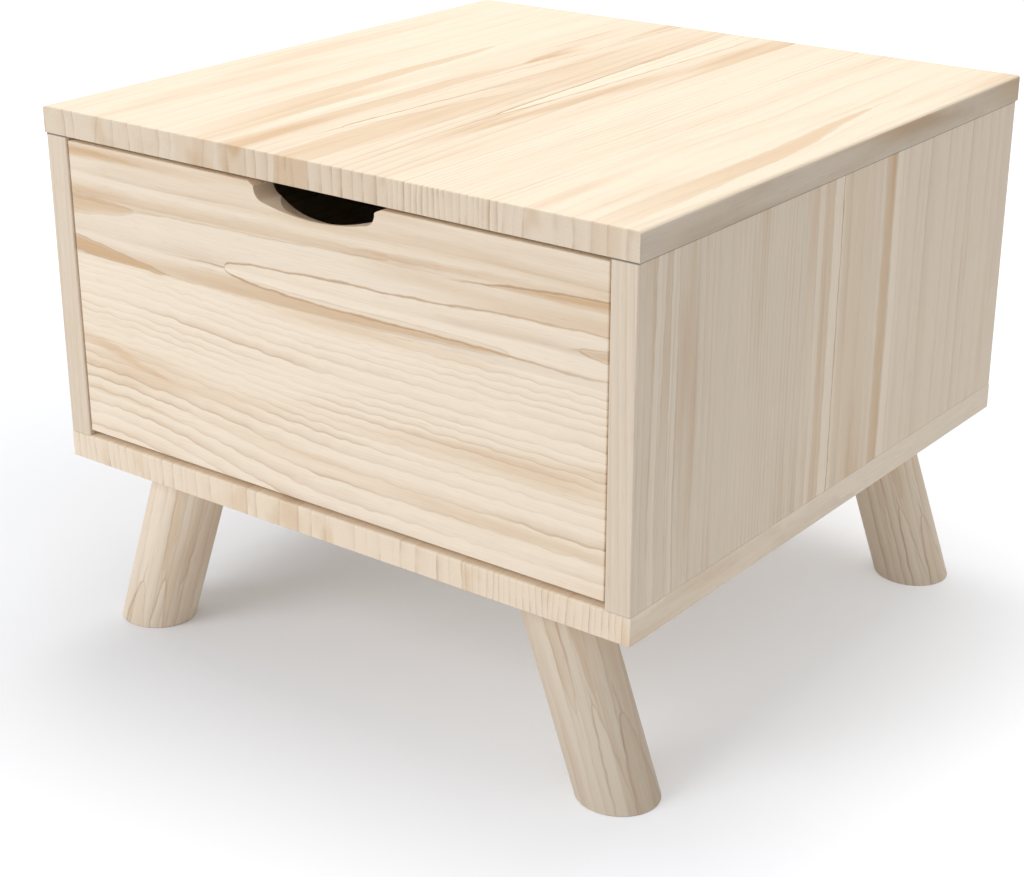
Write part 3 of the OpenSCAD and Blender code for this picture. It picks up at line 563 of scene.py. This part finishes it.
TOP_FLAMES = [
    Flame(-20, -20, 900, 90, fill=0.1, power=0.0),
    Flame(80, -42, 260, 12, fill=-0.4, rim=1.0, lean=0.12, power=0.4, slant=-0.7),
    Flame(168, 18, 480, 17, fill=-0.7, rim=0.8, lean=-0.012, power=0.6),
    Flame(-60, -16, 720, 25, fill=0.4, rim=0.3, power=0.25, slant=-0.3),
    Flame(310, -67, 90, 8, fill=0.8, rim=0.3),
    Flame(330, -66, -460, 10, fill=0.45, rim=0.3, lean=0.01),
    Flame(348, -122, -460, 13, fill=0.55, rim=0.35, lean=-0.02),
    Flame(340, 216, -460, 14, fill=0.6, rim=0.35, lean=-0.03),
    Flame(300, -57, 500, 2, fill=0.0, rim=0.6, lean=0.02, power=0.1, slant=0.9),
    Flame(250, -88, -280, 8, fill=-0.7, power=0.4),
]
dress(raw_pine("top_board", TOP_GRAIN, TOP_STAVES, TOP_FLAMES), "top_board")

low, high = box_of("bottom_board")
BOTTOM_GRAIN = Grain((0, low.y, low.z), (0, 1, 0), (1, 0, 0))
BOTTOM_STAVES = [
    Stave(-300, -340, 62, 0.02, 7.0, 31.2, value=1.04, warmth=0.3, contrast=0.45),
    Stave(-130, -360, 50, 0.01, 16.0, 37.6, value=1.04, warmth=0.4, contrast=0.4),
    Stave(60, 340, 66, -0.02, 12.0, 41.9, value=1.04, warmth=0.4, contrast=0.4),
    Stave(120, 400, 60, 0.02, 4.8, 47.3, value=1.04, warmth=0.4, contrast=0.45),
]
dress(raw_pine("bottom_board", BOTTOM_GRAIN, BOTTOM_STAVES, end_light=0.97), "bottom_board")

# %% Side boards
SIDE_END_PAINTED_SHADE = 0.4      # their sawn ends are closed off by the top board, and are drawn this dark as painted shade in that joint

for side, name in ((-1, "side_board_left"), (1, "side_board_right")):
    low, high = box_of(name)
    grain = Grain((high.x if side > 0 else low.x, low.y, low.z), (0, 0, 1), (0, 1, 0))
    staves = [
        Stave(-10, 0.3, 1.6 * side, 0.0015 * side, 0.33, 51.3 + side, wander=0.5, ripple=0.0, value=0.87,
              warmth=0.5, contrast=0.5, band=0.8),
        Stave(0.5, 400, 60 * side, 0.02, 9.0, 53.1 + side, value=0.95, warmth=0.5, contrast=0.45, band=0.8),
        Stave(108, 430, 50 * side, 0.03, 4.6, 59.8 + side, value=0.97, warmth=0.4, contrast=0.5, ripple=1.2),
        Stave(196, -260, 50 * side, -0.03, 16.0, 67.2 + side, value=1.04, warmth=0.5, contrast=0.35,
              band=0.8),
        Stave(330, 830, 64 * side, 0.05, 14.0, 71.5 + side, value=1.02, warmth=0.5, contrast=0.4, band=0.8),
    ]
    flames = [
        Flame(-20, 250.0, 900, 270, fill=0.08, power=0.0),
        Flame(-20, 219.5, 900, 7, fill=0.35, power=0.0, lean=0.01),
        Flame(-20, 232.0, 900, 6.5, fill=-0.9, rim=0.7, power=0.0, lean=0.012, slant=0.8),
        Flame(-20, 270.0, 900, 27, fill=0.2, power=0.0, slant=-0.6),
        Flame(-20, 305.0, 900, 6.5, fill=0.6, rim=0.35, power=0.0, slant=0.3),
        Flame(-20, 318.0, 900, 5, fill=-0.7, power=0.0),
        Flame(-20, 20.0, 900, 5, fill=-0.6, power=0.0, lean=0.02),
        Flame(-20, 41.0, 900, 4, fill=-0.6, rim=0.2, power=0.0, lean=-0.01),
    ]
    dress(raw_pine(name, grain, staves, flames, SIDE_END_PAINTED_SHADE, (high.z - low.z) * METRE), name)

# %% Drawer front
low, high = box_of("drawer_front")
FRONT_GRAIN = Grain((low.x, low.y, low.z), (1, 0, 0), (0, 0, 1))
FRONT_STAVES = [
    Stave(-10, -40, 110, 0.0, -4.8, 83.7, swell=13, swell_at=20, wander=4, ripple=5.0, value=1.04,
          warmth=0.5, contrast=0.9, band=0.85),
    Stave(136.5, 300, 60, 0.0, 22.0, 89.2, wander=16, ripple=1.0, value=0.98, warmth=0.6, contrast=0.4,
          band=0.7),
]
FRONT_FLAMES = [
    Flame(62, 178.5, -200, 14.5, fill=0.7, rim=0.45, lean=0.067, slant=0.4),
    Flame(90, 137.5, -300, 9, fill=0.6, rim=0.6, lean=-0.09),
    Flame(147, 153.5, 480, 14.5, fill=-0.6, rim=0.8, lean=0.008, power=0.28),
    Flame(385, 144.0, -420, 7.6, fill=0.75, rim=0.3, lean=0.008, power=0.3),
    Flame(262, 187.5, 260, 5, fill=0.5, rim=0.2, lean=0.01, slant=0.5),
    Flame(368, 183.5, 260, 7, fill=0.6, rim=0.9, lean=0.045, slant=0.9),
    Flame(436, 156.5, 60, 5, fill=0.9, rim=0.5),
    Flame(290, 187.0, -600, 9, fill=0.4, rim=0.4, power=0.3, slant=-0.9),
    Flame(76, 211.0, -200, 6, fill=0.4, rim=0.1),
    Flame(92, 57.0, -160, 7, fill=0.35, rim=0.1, lean=-0.22, slant=-0.5),
    Flame(120, 30.0, -260, 5, fill=0.25, rim=0.0, lean=-0.05),
]
# The front's end grain, which lines the finger cut-out, is kept as light as its face: painted light that
# lifts the shade under the top board.
dress(raw_pine("drawer_front", FRONT_GRAIN, FRONT_STAVES, FRONT_FLAMES, end_light=1.0), "drawer_front")

# %% Drawer box
for side, name in ((-1, "drawer_side_left"), (1, "drawer_side_right")):
    staves = [
        Stave(-10, -90, 40, 0.03, 5.5, 97.3 + side, warmth=0.4),
        Stave(84, 220, 50, 0.02, 6.5, 101.9 + side, value=0.99),
    ]
    dress(raw_pine(name, Grain(box_of(name)[0], (0, 1, 0), (0, 0, 1)), staves), name)
BACK_GRAIN = Grain(box_of("drawer_back")[0], (1, 0, 0), (0, 0, 1))
BACK_STAVES = [Stave(-10, 60, 60, 0.03, 6.5, 107.7, wander=14)]
dress(raw_pine("drawer_back", BACK_GRAIN, BACK_STAVES), "drawer_back")

# %% [markdown]
# # Pieces that follow a rule
# Some pieces are made by a machine that follows a simple rule: a lathe, a fluting cutter, a thread roller.
# Geometry Nodes suit them. The rule is written once, as a tree with named inputs, and every leg, dowel or
# screw is that tree with its own sizes. All of these begin on the lathe: a cylinder has as many rings as the
# profile has corners, and each ring is sent to its own height and radius.
# A tree works on a small mesh of points, one for each copy, and every point knows which way its copy heads.
# The result is turned into a plain mesh at once, so nothing is left that could change later.

# %% Rules
MERGE_WITHIN = 1e-6       # metres
SHARP = math.radians(35)  # edges that turn more than this stay crisp


def new_rule(name, sizes, counts=()):
    """An empty Geometry Nodes tree with named sizes and counts, and the outputs of its input node."""
    return new_group(name, "GeometryNodeTree",
                     {"Geometry": ("Places",), "Float": sizes, "Int": counts, "Material": ("Material",)},
                     {"Geometry": ("Pieces",)})


def turned(tree, corners, rings):
    """A closed round body on the lathe. Each ring is a vector: radius, radius again and height."""
    last = len(rings) - 1
    # Each ring of the blank lies one metre above the one below it, so its height says its number.
    blank = add(tree, "GeometryNodeMeshCylinder",
                {"Vertices": corners, "Side Segments": last, "Radius": 1.0, "Depth": float(last)})
    spot = add(tree, "SeparateXYZ", (add(tree, "GeometryNodeInputPosition"),)).outputs
    ring = add(tree, "Math ADD", (spot["Z"], last / 2))
    size = add(tree, "GeometryNodeIndexSwitch", {"Index": ring}, data_type="VECTOR")
    while len(size.index_switch_items) < len(rings):
        size.index_switch_items.new()
    fill(tree, size, dict(enumerate(rings, start=1)))
    around = add(tree, "CombineXYZ", (spot["X"], spot["Y"], 1.0))
    place = add(tree, "VectorMath MULTIPLY", (around, size))
    return add(tree, "GeometryNodeSetPosition", {"Geometry": blank, "Position": place})


def finish_rule(tree, given, shape):
    """Puts the shape on every place, turned to its heading, as plain geometry with its material."""
    clean = add(tree, "GeometryNodeMergeByDistance", {"Geometry": shape, "Distance": MERGE_WITHIN})
    heading = add(tree, "GeometryNodeInputNamedAttribute", {"Name": "heading"}, data_type="FLOAT_VECTOR")
    turn = add(tree, "FunctionNodeAlignRotationToVector", {"Vector": heading}, axis="Z")
    copies = add(tree, "GeometryNodeInstanceOnPoints",
                 {"Points": given["Places"], "Instance": clean, "Rotation": turn})
    real = add(tree, "GeometryNodeRealizeInstances", {"Geometry": copies})
    done = add(tree, "GeometryNodeSetMaterial", {"Geometry": real, "Material": given["Material"]})
    add(tree, "NodeGroupOutput", {"Pieces": done})
    return tree


def follow(rule, node, body, places, headings, values):
    """Runs a rule and puts its plain result in the place of a CAD node."""
    points = bpy.data.meshes.new("places")
    points.from_pydata([tuple(place) for place in places], [], [])
    attribute = points.attributes.new("heading", "FLOAT_VECTOR", "POINT")
    for point, heading in zip(attribute.data, headings):
        point.vector = heading
    piece = bpy.data.objects.new(f"{rule.name}.{node}".replace(" ", "_").lower(), points)
    scene.collection.objects.link(piece)
    modifier = piece.modifiers.new("rule", "NODES")
    modifier.node_group = rule
    for socket in rule.interface.items_tree:
        if socket.in_out == "INPUT" and socket.name in values:
            modifier[socket.identifier] = values[socket.name]
    mesh = bpy.data.meshes.new_from_object(piece.evaluated_get(bpy.context.evaluated_depsgraph_get()))
    piece.modifiers.remove(modifier)
    piece.data = mesh
    bpy.data.meshes.remove(points)
    if mesh.materials[0] is None:
        mesh.materials.pop(index=0)
    mesh.shade_smooth()
    mesh.set_sharp_from_angle(angle=SHARP)
    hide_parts(node)
    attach(piece, body)
    print(piece.name, len(mesh.polygons), "faces")


print("edges over", round(math.degrees(SHARP)), "degrees stay crisp")

# %% [markdown]
# # The legs
# Round legs are turned from one squared blank each, so a leg is a single stave whose grain follows the
# leaning axis. The pith lies outside the leg, a little to one side, which gives arches where the surface
# turns away from it and close lines at its flanks.
# A leaning round bar that is cut level has an ellipse at both ends. So each ring of the lathe's cylinder is
# stretched a little sideways and pushed outwards the lower it lies. The lowest rings follow a quarter circle,
# the eased rim that keeps a leg from splintering when it is dragged. Three drills leave the bores for the
# threaded insert, the end of the bolt and the dowel.

# %% Leg rule
EASE_STEPS = 5
LEG_CORNERS = 96
DRILL_CORNERS = 32
DRILLS = ("Insert", "Bolt", "Dowel")


def cut(tree, shape, cutters):
    """The shape less all of the cutters."""
    tools = add(tree, "GeometryNodeJoinGeometry")
    for cutter in cutters:
        fill(tree, tools, (cutter,))
    return add(tree, "GeometryNodeMeshBoolean",
               {"Mesh 1": shape, "Mesh 2": tools, "Self Intersection": True},
               operation="DIFFERENCE", solver="EXACT")


def leg_rule():
    """Tree of one leaning leg: its place is on the floor under the middle of its top."""
    bores = [f"{drill} {size}" for drill in DRILLS for size in ("radius", "depth")]
    tree, given = new_rule("Turned leg", ["Height", "Radius", "Lean", "Ease", "Dowel aside", *bores])
    foot = add(tree, "CombineXYZ", (given["Radius"], given["Radius"]))
    top = add(tree, "CombineXYZ", (given["Radius"], given["Radius"], given["Height"]))
    rings = []
    for i in range(EASE_STEPS + 1):
        angle = math.radians(90) * i / EASE_STEPS
        inwards, upwards = math.sin(angle) - 1, 1 - math.cos(angle)
        rings.append(add(tree, "VectorMath MULTIPLY_ADD", (given["Ease"], (inwards, inwards, upwards), foot)))
    upright = turned(tree, LEG_CORNERS, rings + [top])

    spot = add(tree, "GeometryNodeInputPosition")
    height = add(tree, "SeparateXYZ", (spot,)).outputs["Z"]
    below = add(tree, "Math SUBTRACT", (given["Height"], height))
    pushed = add(tree, "Math MULTIPLY", (below, given["Lean"]))
    push = add(tree, "CombineXYZ", (pushed,))
    squared = add(tree, "Math MULTIPLY_ADD", (given["Lean"], given["Lean"], 1.0))
    longer = add(tree, "Math SQRT", (squared,))
    stretch = add(tree, "CombineXYZ", (longer, 1.0, 1.0))
    place = add(tree, "VectorMath MULTIPLY_ADD", (spot, stretch, push))
    leaning = add(tree, "GeometryNodeSetPosition", {"Geometry": upright, "Position": place})

    drills = []
    for name in DRILLS:
        deep = add(tree, "Math MULTIPLY", (given[name + " depth"], 2.0))
        drill = add(tree, "GeometryNodeMeshCylinder",
                    {"Vertices": DRILL_CORNERS, "Radius": given[name + " radius"], "Depth": deep})
        aside = given["Dowel aside"] if name == "Dowel" else 0.0
        middle = add(tree, "CombineXYZ", (0.0, aside, given["Height"]))
        drills.append(add(tree, "GeometryNodeTransform", {"Geometry": drill, "Translation": middle}))
    return finish_rule(tree, given, cut(tree, leaning, drills))


LEG_RULE = leg_rule()
print("rule:", LEG_RULE.name, len(LEG_RULE.nodes), "nodes")

# %% Legs
def in_metres(sizes):
    """The same named sizes, from millimetres to metres."""
    return {name: size / METRE for name, size in sizes.items()}


LEG_SPLAY = math.radians(20)
LEG_SIZES = in_metres({"Radius": 27.5, "Ease": 1.0, "Insert radius": 6.05, "Insert depth": 25.0,
                       "Bolt radius": 4.05, "Bolt depth": 31.5, "Dowel radius": 4.05,
                       "Dowel depth": 27.0})
DOWEL_ASIDE = 16.75 / METRE
LEG_STAVE = Stave(-100, 40, -34, 0.02, 5.5, 113.0, wander=8, ripple=2, warmth=0.4, contrast=0.65, band=0.85)
ACROSS_VIEW = Vector((0.8, 0.6, 0))       # level and square to the view, so the flames lie where they show
LEG_FLAMES = [
    Flame(-54, -11, -160, 7, fill=0.25, rim=0.3, slant=0.5),
    Flame(-64, 4, -150, 6, fill=0.4, rim=0.3, slant=-0.5),
    Flame(-58, 1, 110, 8, fill=-0.3, rim=0.4, lean=0.03, slant=-0.4),
    Flame(-46, 17, 160, 12, fill=0.2, rim=0.5, lean=0.02, slant=-0.5),
]
SEED_BY_SIDE, SEED_BY_END = 5, 2          # every leg comes from another place in the log
FLAME_BY_SIDE, FLAME_BY_END = -8, 6       # and its flames lie some mm higher or lower
LEG_TONE_AND_PAINTED_SHADE = {(-1, -1): 0.96, (1, -1): 0.85, (-1, 1): 0.96, (1, 1): 1.0}     # light of each leg's stave: its own tone, and for the front right leg also painted shade

for (side, end), value in LEG_TONE_AND_PAINTED_SHADE.items():
    name = f"leg_{'front' if end < 0 else 'back'}_{'left' if side < 0 else 'right'}"
    low, high = box_of(name)
    axis = Vector((side * math.sin(LEG_SPLAY), 0, -math.cos(LEG_SPLAY)))
    foot_x = side * (max(abs(low.x), abs(high.x)) - LEG_SIZES["Radius"] / math.cos(LEG_SPLAY))
    foot = Vector((foot_x, (low.y + high.y) / 2, 0))
    across = (ACROSS_VIEW - ACROSS_VIEW.dot(axis) * axis).normalized()
    stave = LEG_STAVE._replace(pith_across=LEG_STAVE.pith_across * side, value=value,
                               seed=LEG_STAVE.seed + SEED_BY_SIDE * side + SEED_BY_END * end)
    shift = FLAME_BY_SIDE * side + FLAME_BY_END * end
    flames = [flame._replace(along=flame.along + shift, across=flame.across * side)
              for flame in LEG_FLAMES]
    pine = raw_pine(name, Grain(foot, axis, across), [stave], flames)
    lean = side * math.tan(LEG_SPLAY)
    follow(LEG_RULE, name, "cabinet", [(foot.x - lean * high.z, foot.y, 0)], [(0, 0, 1)],
           {**LEG_SIZES, "Height": high.z, "Lean": lean, "Dowel aside": -end * DOWEL_ASIDE,
            "Material": pine})

# %% [markdown]
# # Plywood
# The back and the drawer's bottom are thin birch-faced plywood: a smooth, cool cream face, and edges that
# show the crossed plies as pale and brown stripes. The stripes depend only on the depth in the sheet, so
# one formula gives an even face and a striped edge.

# %% Plywood
PLY = 4.0 / 3                             # mm: three plies make a sheet
WAVE_LENGTHS = (180.0, 16.0, math.inf)    # figure of the face, mm along, across and through the grain
PLY_FIBRE_LENGTHS = (20.0, 0.9, 0.9)
CROSS_PLY_SHOWN = 0.6


def plywood(name, grain):
    """Birch-faced plywood; through its thickness every second ply is cut across the grain."""
    material, tree = new_material("birch plywood, " + name.replace("_", " "))
    parts, place = place_in(tree, grain)
    waves = streaks(tree, place, WAVE_LENGTHS, Detail=4.0, Distortion=0.6)
    face = add(tree, "ValToRGB", (waves,), [(0.3, colour("#EFE2CA")), (0.5, colour("#E9D8BB")),
                                            (0.7, colour("#DFCAA8"))])
    depth = add(tree, "Math PINGPONG", (parts[2], 2 * PLY))
    crossed = add(tree, "Math GREATER_THAN", (depth, PLY))
    edge = add(tree, "Math LESS_THAN", (facing(tree, axes_of(grain)[2]), 0.5))
    dark = add(tree, "Math MULTIPLY", (edge, crossed))
    dark_share = add(tree, "Math MULTIPLY", (dark, CROSS_PLY_SHOWN))
    mixed = add(tree, "Mix", {0: dark_share, MIX_A: face, MIX_B: colour("#A77F4E")}, data_type="RGBA")
    fibre = streaks(tree, place, PLY_FIBRE_LENGTHS)
    surface(tree, {"Base Color": mixed.outputs[MIX_COLOUR], "Roughness": 0.58}, fibre, 0.3)
    return material


for name, along, across in (("back_panel", (0, 0, 1), (1, 0, 0)), ("drawer_bottom", (1, 0, 0), (0, 1, 0))):
    dress(plywood(name, Grain(box_of(name)[0], along, across)), name)

# %% [markdown]
# # Beech dowels
# Dowels are turned from beech: pinkish tan, dense and even, with short darker flecks where its rays are
# cut. All of them are hidden once the cabinet is glued, but they show when the pieces are taken apart.
# Flutes along a dowel let the air and the spare glue out of its hole. In the rule, every second corner of
# the round lies a little deeper, and both ends are bevelled so that they find the hole.

# %% Beech
FLECK_WIDTH, FLECK_LENGTH = 1.1 / METRE, 4.5 / METRE      # real rays are narrower, but would not show

beech, tree = new_material("turned beech")
flecks = streaks(tree, add(tree, "TexCoord").outputs["Object"], (FLECK_WIDTH, FLECK_WIDTH, FLECK_LENGTH),
                 Detail=3.0)
tone = add(tree, "ValToRGB", (flecks,), [(0.35, colour("#DDBC92")), (0.6, colour("#CFA97C")),
                                         (0.75, colour("#A97F55"))])
surface(tree, {"Base Color": tone, "Roughness": 0.5}, flecks, 0.2)
print("material:", beech.name)

# %% Dowels
FLUTES = 14
BEVEL_SHARE, FLUTE_SHARE = 1 / 4, 1 / 14          # of a dowel's radius


def dowel_rule():
    """Tree of fluted dowels: a place is the middle of a dowel."""
    tree, given = new_rule("Fluted dowel", ("Length", "Radius", "Bevel", "Flute depth"), ("Flutes",))
    full = add(tree, "CombineXYZ", (given["Radius"], given["Radius"], given["Length"]))
    rings = []
    for end, bevel in ((-0.5, (-1, -1, 0)), (-0.5, (0, 0, 1)), (0.5, (0, 0, -1)), (0.5, (-1, -1, 0))):
        square = add(tree, "VectorMath MULTIPLY", (full, (1, 1, end)))
        rings.append(add(tree, "VectorMath MULTIPLY_ADD", (given["Bevel"], bevel, square)))
    corners = add(tree, "Math MULTIPLY", (given["Flutes"], 2.0))
    smooth = turned(tree, corners, rings)

    odd = add(tree, "Math MODULO", (add(tree, "GeometryNodeInputIndex"), 2.0))
    deep = add(tree, "Math MULTIPLY", (odd, given["Flute depth"]))
    spot = add(tree, "GeometryNodeInputPosition")
    level = add(tree, "VectorMath MULTIPLY", (spot, (-1, -1, 0)))
    inwards = add(tree, "VectorMath NORMALIZE", (level,))
    pull = add(tree, "VectorMath SCALE", {0: inwards, "Scale": deep})
    fluted = add(tree, "GeometryNodeSetPosition", {"Geometry": smooth, "Offset": pull})
    return finish_rule(tree, given, fluted)


def solids_of(name):
    """Lowest and highest corner of each separate solid in a CAD node, found on a merged copy."""
    work = bmesh.new()
    work.from_mesh(nodes[name].data)
    bmesh.ops.remove_doubles(work, verts=work.verts, dist=MERGE_WITHIN)
    boxes = []
    for start in work.verts:
        if start.tag:
            continue
        start.tag = True
        group, waiting = [], [start]
        while waiting:
            vert = waiting.pop()
            group.append(vert.co.copy())
            for edge in vert.link_edges:
                other = edge.other_vert(vert)
                if not other.tag:
                    other.tag = True
                    waiting.append(other)
        boxes.append(tuple(Vector(pick(co[i] for co in group) for i in range(3)) for pick in (min, max)))
    work.free()
    return boxes


DOWEL_RULE = dowel_rule()
for name, body, axis in (("leg_dowels", "cabinet", 2), ("case_dowels", "cabinet", 2),
                         ("drawer_dowels", "drawer", 1)):
    boxes = solids_of(name)
    low, high = boxes[0]
    radius = (high - low)[0] / 2
    heading = tuple(float(i == axis) for i in range(3))
    follow(DOWEL_RULE, name, body, [(low + high) / 2 for low, high in boxes], [heading] * len(boxes),
           {"Length": (high - low)[axis], "Radius": radius, "Bevel": radius * BEVEL_SHARE,
            "Flutes": FLUTES, "Flute depth": radius * FLUTE_SHARE, "Material": beech})

# %% [markdown]
# # Metal fittings
# Bolts, washers, screws and cam fittings are steel with a bright zinc plating. It is a metal, so its colour
# is its reflection, and the plating's crystals make it slightly blotchy, which shows in the roughness more
# than in the colour. The threaded inserts are brass, turned on a lathe and left as they came.

# %% Zinc plate and brass
def mottled(name, spots, tones, roughness, relief=None, strength=0.0, others=()):
    """Colour and roughness that drift over spots. Spots and relief are a size in mm and a detail."""
    material, tree = new_material(name)
    place = add(tree, "TexCoord").outputs["Object"]

    def noise(size, detail):
        return add(tree, "TexNoise", {"Vector": place, "Scale": METRE / size, "Detail": detail})

    drift = noise(*spots)
    tone = add(tree, "ValToRGB", (drift,), [(at, colour(value)) for at, value in tones])
    rough = add(tree, "MapRange", (drift, 0.0, 1.0, *roughness))
    surface(tree, {"Base Color": tone, "Roughness": rough, **dict(others)},
            noise(*relief) if relief else None, strength)
    return material


ZINC_SPOTS, BRASS_SPOTS = (4.0, 3.0), (2.5, 3.0)      # real crystals are finer, but would not show
METAL = {"Metallic": 1.0}
ZINC = mottled("bright zinc plate", ZINC_SPOTS, ((0.35, "#C9CCD0"), (0.65, "#B4B8BE")), (0.28, 0.42),
               ZINC_SPOTS, 0.1, METAL)
BRASS = mottled("turned brass", BRASS_SPOTS, ((0.35, "#D9B763"), (0.65, "#C9A24B")), (0.22, 0.34),
                BRASS_SPOTS, 0.1, METAL)
dress(ZINC, "leg_bolts", "leg_washers", "cam_bolts", "cam_locks", "case_runner_pins", "drawer_runner_pins")
dress(BRASS, "leg_inserts")

# %% [markdown]
# # Screws
# A wood screw is a turned body with a ridge that winds round it. The body comes from the lathe rule: head,
# neck, core and point. The ridge is a small diamond swept along a spiral, and a boolean joins the two into
# one closed shape. A second boolean sinks the recess for the driver: a cross in the small countersunk
# screws, a hexagon in the thick one-piece screws that hold the case together.
# Where each screw sits and which way it heads is read from the CAD model's own solids.

# %% Screw rules
SCREW_CORNERS = 24
TURN_POINTS = 12          # points on one turn of a thread
POINT_RADIUS = 0.0001     # metres: a blunt tip keeps the mesh closed without a pole
RIDGE_START = 1.2         # ridge heights from the neck to the first turn
CROSS_SHARE = 4.0         # a cross recess is this many times as wide as one of its bars
SCREW_SIZES = ("Length", "Head radius", "Head low radius", "Head height", "Neck radius", "Neck end",
               "Core radius", "Point", "Pitch", "Recess width", "Recess depth")


def screw_rule(name, cross):
    """Tree of wood screws: a place is the middle of a head's outer face."""
    tree, given = new_rule(name, SCREW_SIZES)
    point_from = add(tree, "Math SUBTRACT", (given["Length"], given["Point"]))
    corners = ((0.0, given["Head radius"]), (given["Head height"], given["Head low radius"]),
               (given["Head height"], given["Neck radius"]), (given["Neck end"], given["Neck radius"]),
               (given["Neck end"], given["Core radius"]), (point_from, given["Core radius"]),
               (given["Length"], POINT_RADIUS))
    rings = [add(tree, "CombineXYZ", (radius, radius, height)) for height, radius in corners]
    smooth = add(tree, "GeometryNodeMergeByDistance",
                 {"Geometry": turned(tree, SCREW_CORNERS, rings), "Distance": MERGE_WITHIN})

    ridge = add(tree, "Math SUBTRACT", (given["Neck radius"], given["Core radius"]))
    thread_from = add(tree, "Math MULTIPLY_ADD", (ridge, RIDGE_START, given["Neck end"]))
    run = add(tree, "Math SUBTRACT", (point_from, thread_from))
    turns = add(tree, "Math DIVIDE", (run, given["Pitch"]))
    winding = add(tree, "GeometryNodeCurveSpiral",
                  {"Resolution": TURN_POINTS, "Rotations": turns, "Height": run,
                   "Start Radius": given["Core radius"], "End Radius": given["Core radius"]})
    diamond = add(tree, "GeometryNodeCurvePrimitiveCircle", {"Resolution": 4, "Radius": ridge})
    swept = add(tree, "GeometryNodeCurveToMesh",
                {"Curve": winding, "Profile Curve": diamond, "Fill Caps": True})
    lift = add(tree, "CombineXYZ", {"Z": thread_from})
    thread = add(tree, "GeometryNodeTransform", {"Geometry": swept, "Translation": lift})
    both = add(tree, "GeometryNodeJoinGeometry", (smooth,))
    fill(tree, both, (thread,))
    joined = add(tree, "GeometryNodeMeshBoolean", {"Mesh 2": both, "Self Intersection": True},
                 operation="UNION", solver="EXACT")

    # A cutter's middle lies on the face of the head, so only half of its depth cuts.
    deep = add(tree, "Math MULTIPLY", (given["Recess depth"], 2.0))
    wide = given["Recess width"]
    if cross:
        thin = add(tree, "Math DIVIDE", (wide, CROSS_SHARE))
        cutters = [add(tree, "GeometryNodeMeshCube", {"Size": add(tree, "CombineXYZ", size)})
                   for size in ((wide, thin, deep), (thin, wide, deep))]
    else:
        across = add(tree, "Math MULTIPLY", (wide, 0.5))
        cutters = [add(tree, "GeometryNodeMeshCylinder", {"Vertices": 6, "Radius": across, "Depth": deep})]
    return finish_rule(tree, given, cut(tree, joined, cutters))


COUNTERSUNK, ONE_PIECE = screw_rule("Countersunk screw", True), screw_rule("One-piece screw", False)
for rule in (COUNTERSUNK, ONE_PIECE):
    print("rule:", rule.name, len(rule.nodes), "nodes")

# %% Screws
SMALL = in_metres({"Head radius": 3.5, "Head low radius": 1.75, "Head height": 2.0, "Neck radius": 1.75,
                   "Neck end": 2.6, "Core radius": 1.25, "Point": 3.0, "Pitch": 1.5,
                   "Recess width": 3.85, "Recess depth": 1.2})
THICK = in_metres({"Head radius": 5.0, "Head low radius": 5.0, "Head height": 3.0, "Neck radius": 3.5,
                   "Neck end": 20.0, "Core radius": 2.5, "Point": 3.0, "Pitch": 3.2,
                   "Recess width": 4.0, "Recess depth": 2.5})
OUTWARDS, INWARDS, UP = 1, -1, 0

for rule, sizes, name, body, way in (
        (COUNTERSUNK, SMALL, "case_runner_screws", "cabinet", OUTWARDS),
        (COUNTERSUNK, SMALL, "drawer_runner_screws", "drawer", INWARDS),
        (COUNTERSUNK, SMALL, "drawer_back_screws", "drawer", INWARDS),
        (COUNTERSUNK, SMALL, "drawer_bottom_screws", "drawer", UP),
        (ONE_PIECE, THICK, "case_screws", "cabinet", UP)):
    places, headings = [], []
    for low, high in solids_of(name):
        middle = (low + high) / 2
        heading = Vector((0, 0, 1)) if way == UP else Vector((way * math.copysign(1, middle.x), 0, 0))
        length = abs((high - low).dot(heading))
        places.append(middle - heading * length / 2)
        headings.append(heading)
    follow(rule, name, body, places, headings, {**sizes, "Length": length, "Material": ZINC})

# %% [markdown]
# # Powder-coated runners and nylon rollers
# The runners are bent from sheet steel and powder coated in white. The coat melts into a film that is never
# quite flat: its orange peel has bumps a millimetre or two wide, seen only in the gloss. The rollers are
# natural nylon, whose slight translucency softens its edges. A little subsurface scattering gives that.

# %% Powder coat and nylon
DUST, PEEL, WEAR = (33.0, 3.0), (1.5, 2.0), (2.0, 4.0)    # sizes in mm and details

ENAMEL = mottled("white powder coat", DUST, ((0.35, "#EFEDE7"), (0.7, "#E6E3DB")), (0.3, 0.42), PEEL,
                 0.25)
dress(ENAMEL, "case_runner_left", "case_runner_right", "drawer_runner_left", "drawer_runner_right")
NYLON = mottled("natural nylon", WEAR, ((0.4, "#F3F2EC"), (0.75, "#DEDCD2")), (0.32, 0.5),
                others={"IOR": 1.53, "Subsurface Weight": 0.15, "Subsurface Scale": 0.002})
dress(NYLON, "front_roller_left", "front_roller_right", "rear_roller_left", "rear_roller_right")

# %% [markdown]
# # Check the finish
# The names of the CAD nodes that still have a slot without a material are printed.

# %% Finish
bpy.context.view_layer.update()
bare = [o.name for o in nodes.values() if any(s.material is None for s in o.material_slots)]
print("nodes without a finish:", bare)
